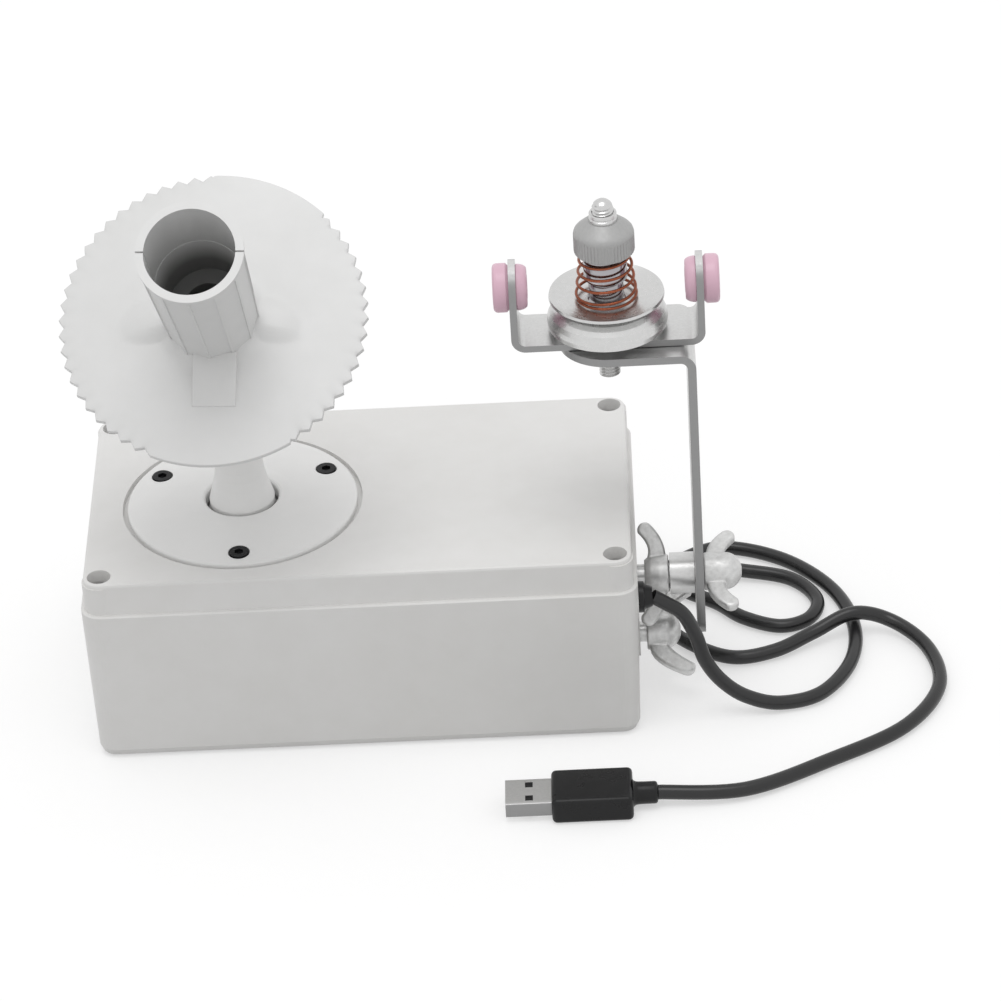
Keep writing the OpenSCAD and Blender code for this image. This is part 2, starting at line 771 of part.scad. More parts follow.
// Pinion with the motor's output shaft
module motor_pinion() {
    color(brass_tone) translate([motor_x, col_y, 0]) {
        translate([0, 0, gear_z - 0.5]) rotate([0, 0, 180 + 180 / pinion_teeth])
            linear_extrude(drive_face) spur_outline(pinion_teeth, drive_module);
        translate([0, 0, mount_z - 7]) cylinder(r = motor_shaft_r, h = gear_z - mount_z + 7);
    }
}

module control_board() {
    color(board_green) difference() {
        translate([board_x, board_y, board_z]) {
            translate([-board_len / 2, -board_dep / 2, 0]) cube([board_len, board_dep, board_t]);
            translate([-12, 6, board_t / 2]) cylinder(r = 5, h = 13);
            translate([-16, -12, board_t / 2]) cube([12, 8, 5]);
            translate([2, -11, board_t / 2]) cube([7, 7, 3]);
            translate([10, -2, board_t / 2]) cube([6, 10, 9]);
        }
        at_board_holes() cylinder(r = 1.4, h = base_h);
    }
}

module board_screws() {
    color(steel) at_board_holes() translate([0, 0, board_z + board_t])
        cap_head_screw(1.2 - fit_gap, 2.2, 1.2, board_t + 4);
}

// Speed control with its switch, behind the back wall
module speed_control() {
    color(steel) translate([control_x, 0, control_z]) rotate([-90, 0, 0]) difference() {
        union() {
            translate([0, 0, control_pad_y - control_len]) cylinder(r = control_r, h = control_len);
            translate([0, 0, control_pad_y - 1])
                cylinder(r = control_bush_r - fit_gap, h = knob_start - control_pad_y);
        }
        translate([0, 0, control_pad_y - 4]) cylinder(r = control_shaft_r + run_gap, h = knob_len + 20);
    }
}

module control_nut() {
    color(bright) translate([control_x, back_y, control_z]) rotate([-90, 0, 0])
        hex_nut(control_nut_r, control_bush_r, control_nut_t);
}

module speed_knob() {
    color(black_soft) translate([control_x, knob_start, control_z]) rotate([-90, 0, 0]) {
        translate([0, 0, knob_skirt]) linear_extrude(knob_len - knob_skirt) difference() {
            circle(knob_r);
            for (a = [0 : 30 : 330]) rotate(a) translate([knob_r + 0.8, 0]) circle(1.5);
        }
        tube_solid(knob_r, control_bush_r + 1, knob_skirt);
        translate([0, 0, control_pad_y - 3 - knob_start])
            cylinder(r = control_shaft_r, h = knob_start - control_pad_y + 3 + knob_len / 2);
    }
}

// Side bolts, their heads inside the box
module side_bolt(z, end_x) {
    along_x(wall_x - pad_in - bolt_head_t, bolt_y, z) cylinder(r = bolt_head_r, h = bolt_head_t, $fn = 6);
    along_x(wall_x - pad_in - 0.5, bolt_y, z) cylinder(r = bolt_d / 2, h = end_x - wall_x + pad_in + 0.5);
}

module upper_bolt() { color(steel) side_bolt(bolt_up_z, upper_bolt_end); }

module lower_bolt() { color(steel) side_bolt(bolt_low_z, lower_bolt_end); }

// Rubber grommet round the cord where it leaves the box
module cord_grommet() {
    color(black_soft) along_x(wall_x, grommet_y, grommet_z) rotate_extrude() polygon([
        [0, -grommet_in], [grommet_r - fit_gap, -grommet_in], [grommet_r - fit_gap, 0], [grommet_r + 0.9, 0],
        [grommet_r + 0.9, 1.5], [grommet_r, 2], [cord_d / 2 + 0.7, grommet_len], [0, grommet_len]]);
}

module usb_cord() {
    color(black_soft) tube_along(smooth(cord_route), cord_d / 2, cord_sides, [1, 0, 0], [-1, 0, 0]);
}

module plug_boot() {
    color(black_soft) along_x(plug_boot_x, plug_y, plug_z)
        cylinder(r1 = cord_d / 2 + 1.4, r2 = cord_d / 2 + 0.8, h = plug_boot_len);
}

module plug_grip() {
    r = 1.6;
    color(black_soft) translate([plug_boot_x - grip_len, plug_y, plug_z]) rotate([90, 0, 90])
        linear_extrude(grip_len) rounded_rect(grip_w, grip_h, r);
}

// Plug shell, a folded steel sleeve round a plastic tongue, with two windows on top
module plug_shell() {
    color(bright) translate([plug_boot_x - grip_len - shell_len, plug_y, plug_z]) difference() {
        translate([0, -shell_w / 2, -shell_h / 2]) cube([shell_len, shell_w, shell_h]);
        translate([-overlap, shell_t - shell_w / 2, shell_t / 2 - 0.2])
            cube([shell_len - 1, shell_w - 2 * shell_t, shell_h / 2 - shell_t]);
        for (y = [-2.8, 2.8]) translate([shell_len / 2, y, shell_h / 2])
            cube([2.6, 2.4, 2 * shell_t], center = true);
    }
}

// Turning head: hollow column, drive gear, neck and housing
module column_shaft() {
    color(steel) on_column() translate([0, 0, low_bearing_z])
        tube_solid(shaft_d / 2, rod_d / 2 + run_gap, socket_top - low_bearing_z - 0.5);
}

module shaft_collar() {
    color(steel) on_column() translate([0, 0, low_bearing_top + free_gap])
        tube_solid(shaft_d / 2 + 3, shaft_d / 2 + fit_gap, 6);
}

module drive_gear() {
    color(white_spool) on_column() difference() {
        union() {
            translate([0, 0, gear_z]) linear_extrude(drive_face) spur_outline(drive_teeth, drive_module);
            translate([0, 0, gear_z - gear_hub_h]) cylinder(r = gear_hub_r, h = gear_hub_h + 1);
        }
        translate([0, 0, gear_z - gear_hub_h - overlap])
            cylinder(r = shaft_d / 2 + fit_gap, h = drive_face + gear_hub_h + 2 * overlap);
        for (a = [0 : 60 : 300])
            rotate([0, 0, a]) translate([drive_teeth * drive_module / 3.2, 0, gear_z - overlap])
            cylinder(r = drive_teeth * drive_module / 12, h = drive_face + 2 * overlap);
    }
}

// Trumpet-shaped neck round the column, from the upper bearing to the housing
module neck_sleeve() {
    low = bearing_top + free_gap;
    bore = shaft_d / 2 + fit_gap;
    color(white_spool) on_column() rotate_extrude() polygon(concat(
        [[bore, low], [neck_low_r, low], [neck_low_r, lid_top + 2]],
        [for (t = [0.2 : 0.2 : 1])
            [mix(neck_low_r, neck_waist_r, sin(90 * t)), mix(lid_top + 2, lid_top + 2 + neck_flare_h, t)]],
        [[neck_waist_r, neck_top], [bore, neck_top]]));
}

module beyond(s) {
    on_spool_axis() translate([0, 0, s]) cylinder(r = 4 * housing_r, h = 4 * housing_r);
}

// Lower half of the head: a ball round the bevel gears, on a socket over the column
module head_housing() {
    color(white_spool) difference() {
        union() {
            translate([col_x, col_y, crossing_z]) sphere(housing_r);
            on_column() translate([0, 0, neck_top])
                cylinder(r = socket_r, h = crossing_z - neck_top - cavity_r + 2);
            at_cap_screws() translate([0, 0, cap_seat - cap_lug_h])
                cylinder(r = cap_lug_r, h = 2 * cap_lug_h);
        }
        translate([col_x, col_y, crossing_z]) sphere(cavity_r);
        on_column() translate([0, 0, neck_top - overlap])
            cylinder(r = shaft_d / 2 + fit_gap, h = crossing_z - neck_top - 4);
        beyond(cap_seat);
        at_cap_screws() translate([0, 0, cap_seat - cap_lug_h - overlap])
            cylinder(r = cap_screw_r, h = 3 * cap_lug_h);
    }
}

// Upper half of the head: a flange with a long boss that carries the spindle's bushes
module head_cap() {
    color(white_spool) difference() {
        union() {
            on_spool_axis() rotate_extrude() polygon([[0, cap_seat], [cap_r, cap_seat],
                [cap_r - 0.6, cap_seat + cap_flange_t], [boss_r + 2, cap_seat + cap_flange_t],
                [boss_r, cap_seat + cap_flange_t + 2], [boss_r, boss_end], [0, boss_end]]);
            at_cap_screws() translate([0, 0, cap_seat]) cylinder(r = cap_lug_r, h = cap_flange_t);
        }
        on_spool_axis() cylinder(r = bush_r, h = 2 * boss_end);
        at_cap_screws() cylinder(r = cap_screw_r + 0.1, h = boss_end);
    }
}

module cap_screws() {
    color(black_screw) at_cap_screws() translate([0, 0, cap_seat + cap_flange_t])
        cap_head_screw(cap_screw_r - fit_gap, 2.2, 1.6, cap_flange_t + cap_lug_h - 0.5);
}

module spindle_bushes() {
    color(bronze_tone) on_spool_axis() {
        translate([0, 0, cap_seat + free_gap]) tube_solid(bush_r - fit_gap, spindle_r + run_gap, bush_len);
        translate([0, 0, boss_end - bush_len]) tube_solid(bush_r - fit_gap, spindle_r + run_gap, bush_len);
        translate([0, 0, boss_end]) tube_solid(bush_flange_r, spindle_r + run_gap, bush_flange);
    }
}

// Spool: spindle, planet gear, disc and core tube
module spool_spindle() {
    color(steel) on_spool_axis() translate([0, 0, spindle_start])
        cylinder(r = spindle_r, h = disc_out + nut_seat + spool_nut_h + 1 - spindle_start);
}

module planet_gear() {
    color(brass_tone) on_spool_axis() rotate([0, 0, -90])
        bevel_gear(planet_teeth, planet_angle, planet_back, spindle_r + 1, planet_back, spindle_r + fit_gap);
}

module rim_outline() {
    step = 360 / rim_teeth;
    low = disc_d / 2 - rim_root;
    high = disc_d / 2 + rim_tooth_h;
    polygon([for (i = [0 : rim_teeth - 1])
        each [for (k = [[low, -0.5], [high - rim_blunt, -0.14], [high, 0], [high - rim_blunt, 0.14]])
            k[0] * [cos((i + k[1]) * step), sin((i + k[1]) * step)]]]);
}

// A soft lug that spreads the tube's foot over the disc
module foot_lug() {
    translate([foot_bore_r + lug_len, 0, disc_out]) {
        translate([0, 0, lug_rise - lug_r]) sphere(lug_r);
        translate([0, 0, lug_skirt_rise - lug_skirt_r]) sphere(lug_skirt_r);
    }
}

module spool_disc() {
    r = disc_d / 2 - rim_root - overlap;
    face = disc_out - disc_edge;
    color(white_spool) on_spool_axis() difference() {
        union() {
            rotate_extrude() polygon([[0, hub_start], [hub_r, hub_start], [hub_r, disc_back], [r, disc_back],
                [r, face], [tube_r + lug_len + 6, disc_out - 0.4], [tube_r + 2, disc_out], [0, disc_out]]);
            translate([0, 0, rim_tooth_back]) linear_extrude(face - rim_tooth_back - fit_gap) rim_outline();
            intersection() {
                for (a = lug_angles) rotate([0, 0, a]) foot_lug();
                translate([0, 0, disc_back + 1]) tube_solid(r - 2, foot_bore_r, disc_t + lug_rise);
            }
            translate([tongue_shift - tongue_w / 2, -foot_bore_r - tongue_len, disc_out - 1.4])
                cube([tongue_w, tongue_len, tongue_t + 1.4]);
        }
        cylinder(r = spindle_r + fit_gap, h = 3 * disc_out, center = true);
        translate([0, 0, disc_out]) cylinder(r = foot_bore_r, h = disc_t + lug_rise);
    }
}

// Fluted core tube, split at the mouth so that it springs against the ball
module core_tube() {
    lip_z = tube_len - tube_lip;
    under_lip_r = tube_r - rib_out - 0.1;
    lean = atan((under_lip_r - tube_foot_r) / lip_z);
    color(white_spool) on_spool_axis() translate([0, 0, disc_out]) difference() {
        union() {
            cylinder(r1 = tube_foot_r, r2 = under_lip_r, h = lip_z + overlap, $fn = rib_count);
            translate([0, 0, lip_z]) cylinder(r = tube_r, h = tube_lip);
            for (i = [0 : rib_count - 1]) rotate([0, 0, i * 360 / rib_count])
                translate([tube_foot_r, 0, 0]) rotate([0, lean, 0]) translate([-rib_in, -rib_w / 2, 0.5])
                    cube([rib_in + rib_out, rib_w, lip_z]);
        }
        translate([0, 0, tube_len - bore_deep]) cylinder(r = tube_bore / 2, h = tube_len);
        translate([0, 0, tube_floor])
            cylinder(r1 = low_bore_r, r2 = tube_bore / 2, h = tube_len - bore_deep - tube_floor + overlap);
        translate([0, 0, nut_seat]) cylinder(r = nut_pocket_r, h = tube_len);
        cylinder(r = spindle_r + fit_gap, h = 3 * tube_floor, center = true);
        translate([0, 0, tube_len - slit_len / 2 + overlap])
            cube([2 * tube_d, slit_w, slit_len], center = true);
    }
}

module spool_nut() {
    color(bright) on_spool_axis() translate([0, 0, disc_out + nut_seat])
        hex_nut(spool_nut_r, spindle_r + fit_gap, spool_nut_h);
}

// Wing nuts on the side bolts
module wing_nut_inner() {
    color(cast_grey) translate([inner_nut_x + inner_nut_h, bolt_y, bolt_up_z])
        rotate([inner_wing_angle, 0, 0])
        rotate([0, -90, 0]) rotate([0, 0, 90]) wing_nut(inner_nut_h);
}

module wing_nut_lower() {
    color(cast_grey) translate([low_nut_x, bolt_y, bolt_low_z]) rotate([lower_wing_angle, 0, 0])
        rotate([0, 90, 0]) rotate([0, 0, 90]) wing_nut(low_nut_h);
}

module wing_nut_outer() {
    color(cast_grey) translate([outer_nut_x, bolt_y, bolt_up_z]) rotate([outer_wing_angle, 0, 0])
        rotate([0, 90, 0]) rotate([0, 0, 90]) wing_nut(outer_nut_h);
}

// Spacer on the upper bolt whose sleeve guides the slot of the arm
module slot_bush() {
    color(steel) along_x(bush_start, bolt_y, bolt_up_z) difference() {
        union() {
            cylinder(r = bush_spacer_r, h = bar_x - 0.2 - bush_start);
            cylinder(r = slot_bush_r, h = bar_out - 0.1 - bush_start);
        }
        translate([0, 0, -overlap]) cylinder(r = bolt_d / 2 + run_gap, h = arm_gap + bar_t);
    }
}

// Bent flat bar: upright leg with a slot, flat leg with a round end under the post
module arm_profile() {
    out_r = bend_r + bar_t;
    translate([bar_x, bar_low_z]) square([bar_t, arm_z - out_r - bar_low_z]);
    translate([post_x - bar_w, arm_z - bar_t]) square([bar_out - out_r - post_x + bar_w, bar_t]);
    translate([bar_out - out_r, arm_z - out_r]) intersection() {
        difference() {
            circle(out_r);
            circle(bend_r);
        }
        square(out_r);
    }
}

module arm_bar() {
    slot_low = bolt_up_z - slot_travel;
    color(steel) difference() {
        intersection() {
            translate([0, bolt_y, 0]) rotate([90, 0, 0]) linear_extrude(bar_w, center = true) arm_profile();
            translate([post_x, bolt_y, bar_low_z - overlap]) linear_extrude(arm_z) {
                circle(bar_w / 2);
                translate([0, -bar_w / 2]) square([arm_reach + overlap, bar_w]);
            }
            along_x(post_x - bar_w, bolt_y, bar_low_z) rotate([0, 0, 90])
                linear_extrude(2 * bar_w + arm_reach) {
                for (s = [-1, 1]) translate([s * (bar_w / 2 - bar_corner), bar_corner]) circle(bar_corner);
                translate([bar_corner - bar_w / 2, 0]) square([bar_w - 2 * bar_corner, arm_z]);
                translate([-bar_w / 2, bar_corner]) square([bar_w, arm_z]);
            }
        }
        for (z = [slot_low, bolt_up_z]) along_x(bar_x - overlap, bolt_y, z)
            cylinder(r = slot_w / 2, h = bar_t + 2 * overlap);
        translate([bar_x - overlap, bolt_y - slot_w / 2, slot_low])
            cube([bar_t + 2 * overlap, slot_w, slot_travel]);
        translate([post_x, bolt_y, arm_z - 2 * bar_t]) cylinder(r = post_r2 + fit_gap, h = 3 * bar_t);
    }
}

// Shouldered post that carries the tension dishes
module post() {
    color(bright) translate([post_x, bolt_y, 0]) rotate_extrude() polygon([
        [0, post_low_z], [post_r2 - 0.6, post_low_z], [post_r2, post_low_z + 0.6], [post_r2, sheet_top + 0.2],
        [shoulder_r, sheet_top + 0.2], [shoulder_r, shoulder_top], [post_r2, shoulder_top],
        [post_r2, sheet_top + post_h - 1.2], [post_r2 - 1.2, sheet_top + post_h], [0, sheet_top + post_h]]);
}

module post_nut() {
    color(steel) translate([post_x, bolt_y, arm_z - bar_t - post_nut_h])
        hex_nut(post_nut_r, post_r2 + fit_gap, post_nut_h);
}

// U-shaped bracket with an eyelet in each ear
module eyelet_bracket() {
    out_r = bend_r + sheet;
    half = bracket_w / 2;
    color(steel) translate([post_x, bolt_y, 0]) difference() {
        intersection() {
            rotate([90, 0, 0]) linear_extrude(bracket_dep, center = true) {
                translate([-half + out_r, bracket_z]) square([bracket_w - 2 * out_r, sheet]);
                for (s = [0, 1]) mirror([s, 0]) {
                    translate([half - sheet, bracket_z + out_r]) square([sheet, sheet + ear_h - out_r]);
                    translate([half - out_r, bracket_z + out_r]) intersection() {
                        difference() {
                            circle(out_r);
                            circle(bend_r);
                        }
                        translate([0, -out_r]) square(out_r);
                    }
                }
            }
            rotate([90, 0, 90]) linear_extrude(bracket_w + 2, center = true) {
                translate([0, ear_z - eyelet_lift]) circle(ear_r);
                translate([-ear_r, bracket_z - 1]) square([bracket_dep, ear_z - eyelet_lift - bracket_z + 1]);
            }
        }
        translate([0, 0, bracket_z - overlap]) cylinder(r = post_r2 + free_gap, h = sheet + 2 * overlap);
        along_x(-half - overlap, 0, ear_z) cylinder(r = ear_hole_r + fit_gap, h = bracket_w + 2 * overlap);
    }
}

// Ceramic eyelet, its wide lip outside the ear and its neck through it
module eyelet() {
    lip = 1.2;
    neck_end = sheet + ring_t;
    rotate_extrude() polygon(concat(
        [[ear_hole_r, neck_end - 0.4], [ear_hole_r, 0], [eyelet_r - 0.8, 0], [eyelet_r, -0.8]],
        [for (a = [0 : 30 : 90]) [eyelet_r - lip + lip * cos(a), -eyelet_t + lip - lip * sin(a)]],
        [for (a = [0 : 30 : 90]) [eyelet_bore / 2 + lip - lip * sin(a), -eyelet_t + lip - lip * cos(a)]],
        [[eyelet_bore / 2, neck_end]]));
}

module eyelet_left() {
    color(pink_ceramic) along_x(post_x - bracket_w / 2, bolt_y, ear_z) eyelet();
}

module eyelet_right() {
    color(pink_ceramic) translate([post_x + bracket_w / 2, bolt_y, ear_z]) rotate([0, -90, 0]) eyelet();
}

// Push-on rings that hold the eyelets from inside the bracket
module eyelet_rings() {
    color(pink_ceramic) for (s = [0, 1]) translate([post_x, bolt_y, ear_z]) mirror([s, 0, 0])
        along_x(sheet - bracket_w / 2, 0, 0) rotate_extrude() polygon([
            [ear_hole_r + fit_gap, 0], [ring_r - 0.2, 0], [ring_r, 0.6], [ring_r - 0.3, ring_t - 0.8],
            [ring_r - 1, ring_t], [ear_hole_r + fit_gap, ring_t]]);
}

// Lower tension dish: flat crown that rolls down to its rim
module lower_dish() {
    flat_r = dish_flat_r;
    out = low_dish_r - flat_r;
    inner = out - dish_t;
    color(bright) translate([post_x, bolt_y, low_dish_top - dish_roll]) rotate_extrude() polygon(concat(
        [[post_r2 + free_gap, dish_roll], [flat_r, dish_roll]],
        [for (a = [75 : -15 : -15]) [flat_r + out * cos(a), dish_roll * sin(a)]],
        [for (a = [-15 : 15 : 75]) [flat_r + inner * cos(a), (dish_roll - dish_t) * sin(a)]],
        [[flat_r, dish_roll - dish_t], [post_r2 + free_gap, dish_roll - dish_t]]));
}

// Upper tension dish: flat seat for the spring with a rim that flares up
module upper_dish() {
    flat_r = dish_flat_r;
    r = dish_d / 2;
    color(bright) translate([post_x, bolt_y, up_dish_low]) rotate_extrude() polygon(concat(
        [[post_r2 + free_gap, 0], [flat_r, 0]],
        [for (t = [0.25 : 0.25 : 1]) [mix(flat_r, r, t), dish_flare * t * t]],
        [for (t = [1 : -0.25 : 0.25]) [mix(flat_r, r, t) - 0.2, dish_t + dish_flare * t * t]],
        [[flat_r, dish_t], [post_r2 + free_gap, dish_t]]));
}

module tension_spring() {
    color(copper_tone) tube_along(spring_line, spring_wire / 2, 6, end_run(spring_line, 0),
        end_run(spring_line, len(spring_line) - 1));
}

// Sleeve under the tension nut that keeps the spring upright
module spring_guide() {
    color(bright) translate([post_x, bolt_y, guide_low])
        tube_solid(guide_r, post_r2 + run_gap, nut_low - guide_low - 0.1);
}

module tension_nut() {
    r = nut_d / 2;
    bore = post_r2 + run_gap;
    color(cast_grey) translate([post_x, bolt_y, nut_low]) rotate_extrude() polygon([
        [bore, 0], [r - 0.6, 0], [r, 0.6], [r, nut_band - 0.4], [r - 0.5, nut_band],
        [nut_top_r + 0.6, nut_band + nut_cone], [bore, nut_band + nut_cone]]);
}

box_base();
box_lid();
lid_screws();
cover_plate();
cover_screws();
column_bearings();
centre_rod();
sun_gear();
motor();
motor_bracket();
motor_screws();
control_board();
board_screws();
speed_control();
control_nut();
speed_knob();
upper_bolt();
lower_bolt();
cord_grommet();
usb_cord();
plug_boot();
plug_grip();
plug_shell();
motor_pinion();
column_shaft();
shaft_collar();
drive_gear();
neck_sleeve();
head_housing();
head_cap();
cap_screws();
spindle_bushes();
spool_spindle();
planet_gear();
spool_disc();
core_tube();
spool_nut();
wing_nut_inner();
wing_nut_lower();
wing_nut_outer();
slot_bush();
arm_bar();
post();
post_nut();
eyelet_bracket();
eyelet_left();
eyelet_right();
eyelet_rings();
lower_dish();
upper_dish();
tension_spring();
spring_guide();
tension_nut();
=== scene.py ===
"""Looks, cord, spring and studio for the electric yarn ball winder."""
import math

import bmesh
import bpy
from bpy.props import FloatProperty, FloatVectorProperty, IntProperty, PointerProperty
from bpy.types import Operator, Panel, PropertyGroup
from mathutils import Matrix, Vector


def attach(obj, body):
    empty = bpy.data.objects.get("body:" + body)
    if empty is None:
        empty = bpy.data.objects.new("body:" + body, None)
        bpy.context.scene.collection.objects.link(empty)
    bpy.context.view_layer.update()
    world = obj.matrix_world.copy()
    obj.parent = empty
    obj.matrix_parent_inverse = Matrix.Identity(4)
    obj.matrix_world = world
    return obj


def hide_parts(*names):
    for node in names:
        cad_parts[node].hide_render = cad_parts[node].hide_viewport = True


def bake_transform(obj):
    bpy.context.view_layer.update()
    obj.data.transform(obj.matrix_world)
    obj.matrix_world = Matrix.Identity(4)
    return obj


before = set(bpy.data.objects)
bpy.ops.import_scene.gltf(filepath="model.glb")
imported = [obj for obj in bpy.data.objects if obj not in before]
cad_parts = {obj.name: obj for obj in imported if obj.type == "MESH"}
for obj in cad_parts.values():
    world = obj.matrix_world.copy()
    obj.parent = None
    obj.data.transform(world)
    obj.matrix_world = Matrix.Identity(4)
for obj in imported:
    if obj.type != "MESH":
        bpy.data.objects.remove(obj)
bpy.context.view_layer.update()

bl_info = {
    "name": "Yarn Ball Winder",
    "version": (1, 0, 0),
    "blender": (4, 5, 0),
    "location": "View3D > Sidebar > Winder",
    "description": "Finishes, soft parts and studio for a motor driven yarn ball winder",
    "category": "Object",
}

MM = 0.001

# The lead from the grommet to the plug boot, in millimetres, in the order it lies
CORD_ROUTE = (
    (83, -35, 42), (86.6, -35, 39.5), (91.4, -35, 35.5), (94.8, -35, 27.9), (97.3, -35, 19),
    (101.9, -35, 11.4), (108.8, -35, 5.6), (118.5, -34.8, 2.6), (130.6, -30.4, 2.3), (139.9, -15.6, 2.3),
    (142, 3, 2.2), (136.5, 22.6, 2.2), (123, 39, 2.2), (105.3, 46.8, 2.2), (92.4, 41, 2.2),
    (89.1, 32.9, 2.2), (92.5, 25.3, 2.2), (102.1, 17.8, 2.2), (109.8, 9.5, 2.2), (120.4, 4.3, 2.2),
    (129.1, 7.7, 2.2), (131.8, 17.5, 2.2), (124.3, 28.7, 2.3), (108.6, 33.3, 3.2), (96.2, 33.2, 6.4),
    (87, 29.4, 6.8), (83.3, 20.4, 5), (85.5, 8.4, 2.8), (94, -3, 2.3), (105.7, -10.5, 2.2),
    (118.3, -8.5, 2.5), (129.9, -2, 3.8), (141.8, 2.5, 6.9), (153.4, 1.5, 4), (163, -11, 2.4),
    (164.5, -29.9, 2.2), (153.3, -48.6, 2.2), (131.7, -62.7, 2.2), (106.8, -75.8, 2.8), (82, -77, 4),
)

# The spool's own frame: its axis is Z and its plate lies across it
SPOOL_FOOT = (-33.5, -3.5, 106)
SPOOL_TURN, SPOOL_TILT = -4, 36.5
SPOOL_PLACE = (
    Matrix.Translation(Vector(SPOOL_FOOT) * MM) @ Matrix.Rotation(math.radians(SPOOL_TURN), 4, "Z")
    @ Matrix.Rotation(math.radians(SPOOL_TILT), 4, "X"))

# The tension post stands upright on this point of the arm, and its nut starts at this height
POST_X, POST_Y = 74, -15
NUT_LOW = 144.9


def colour(name, description, default):
    """A colour property for the sidebar"""
    return FloatVectorProperty(
        name=name, description=description, default=default,
        subtype="COLOR", size=3, min=0.0, max=1.0)


def length(name, description, default):
    """A length property for the sidebar, in metres"""
    return FloatProperty(
        name=name, description=description, default=default,
        subtype="DISTANCE", unit="LENGTH", min=0.0, precision=5)


class WinderFinish(PropertyGroup):
    """Colours of the winder's materials"""
    shell: colour("Box white", "Moulded box base and lid", (0.79, 0.785, 0.775))
    shell_worn: colour("Box handled", "The box where hands have been", (0.745, 0.738, 0.722))
    # Painted light: the box's white made lighter on the cover plate and the neck, to cancel the shade that
    # the spool casts on them
    plate: colour("Plate white", "Cover plate and neck sleeve", (0.87, 0.868, 0.86))
    spool: colour("Spool white", "Spool disc and core tube", (0.73, 0.73, 0.726))
    spool_worn: colour("Spool handled", "The spool where yarn has run", (0.69, 0.69, 0.684))
    satin_steel: colour("Satin steel", "Arm and eyelet bracket", (0.68, 0.68, 0.675))
    # Darker tone of faces that look along Y: duller sheared edges, and painted shade on the sides of the
    # sheet steel, the plug shell's too
    cut_edge_shade: colour("Edge and side shade", "Cut edges of the arm and the bracket", (0.29, 0.29, 0.29))
    dish_steel: colour("Dish steel", "Pressed tension dishes", (0.66, 0.66, 0.655))
    bright_steel: colour("Bright steel", "Post, nut collar and bearings", (0.64, 0.638, 0.635))
    turned_steel: colour("Turned steel", "Sleeves inside the spring", (0.42, 0.41, 0.425))
    cast_metal: colour("Cast metal", "Wing nuts", (0.66, 0.66, 0.655))
    matt_nickel: colour("Matt nickel", "Tension nut", (0.43, 0.43, 0.427))
    ceramic: colour("Pink ceramic", "Yarn eyelets", (0.75, 0.485, 0.59))
    copper: colour("Spring copper", "Coppered spring wire", (0.32, 0.10, 0.055))
    rubber: colour("Black rubber", "Cord, boot, grip and grommet", (0.012, 0.012, 0.0125))
    brass: colour("Gear brass", "Gears and bushes", (0.72, 0.52, 0.24))
    board: colour("Board green", "Control board", (0.02, 0.16, 0.07))


class WinderSizes(PropertyGroup):
    """Sizes of the pieces that the scene makes"""
    cord_diameter: length("Cord diameter", "Outside of the round lead", 4.2 * MM)
    spring_wire: length("Spring wire", "Thickness of the spring's wire", 0.85 * MM)
    spring_turns: FloatProperty(
        name="Spring turns", description="Turns of the conical spring", default=4.5, min=3.5, max=7.0)
    nut_ridges: IntProperty(
        name="Nut ridges", description="Ridges round the tension nut's band", default=52, min=24, max=90)
    thread_pitch: length("Thread pitch", "Pitch of the post's thread", 1.0 * MM)


class WinderStudio(PropertyGroup):
    """Light round the winder"""
    sky: FloatProperty(
        name="Sky light", description="Strength of the even light from all sides", default=0.785, min=0.0)
    softbox: FloatProperty(
        name="Softbox power", description="Power of the large lamp overhead",
        default=6.6, min=0.0, subtype="POWER", unit="POWER")
    softbox_size: length("Softbox size", "Side of the square lamp overhead", 0.9)
    floor_lift: FloatProperty(
        name="Floor lift", description="Light of its own that the floor shows, to read as white",
        default=0.48, min=0.0)


# Making meshes

def add(name, data):
    """A new object at the origin, linked to the scene"""
    made = bpy.data.objects.new(name, data)
    bpy.context.scene.collection.objects.link(made)
    return made


def new_piece(bm, name, smooth_angle=35):
    """Close a bmesh into an object at the origin, with edges sharper than the angle kept sharp"""
    bmesh.ops.recalc_face_normals(bm, faces=bm.faces)
    mesh = bpy.data.meshes.new(name)
    bm.to_mesh(mesh)
    bm.free()
    mesh.shade_smooth()
    mesh.set_sharp_from_angle(angle=math.radians(smooth_angle))
    return add(name, mesh)


def outline_edges(bm, points):
    """Join a row of points with edges"""
    verts = [bm.verts.new(point) for point in points]
    return verts, [bm.edges.new(pair) for pair in zip(verts, verts[1:])]


def turn_outline(bm, outline, steps=64):
    """Spin an outline of (radius, height) about the upright axis, closed at the poles"""
    verts, edges = outline_edges(bm, [(r * MM, 0, z * MM) for r, z in outline])
    bmesh.ops.spin(
        bm, geom=verts + edges, cent=(0, 0, 0), axis=(0, 0, 1), dvec=(0, 0, 0),
        angle=2 * math.pi, steps=steps, use_merge=True, use_duplicate=False)
    bmesh.ops.remove_doubles(bm, verts=bm.verts, dist=1e-7)


def join(bm, other):
    """Put another bmesh into this one and let go of it"""
    part = bpy.data.meshes.new("part")
    bmesh.ops.recalc_face_normals(other, faces=other.faces)
    other.to_mesh(part)
    other.free()
    bm.from_mesh(part)
    bpy.data.meshes.remove(part)


def move_all(bm, x, y, z):
    """Carry the whole bmesh to its place, in millimetres"""
    bmesh.ops.translate(bm, verts=bm.verts, vec=Vector((x, y, z)) * MM)


def lay_along_x(bm, way=1):
    """Turn a bmesh that was made upright so that up becomes +X, or -X for a way of -1"""
    bmesh.ops.rotate(bm, verts=bm.verts, cent=(0, 0, 0), matrix=Matrix.Rotation(way * math.pi / 2, 3, "Y"))


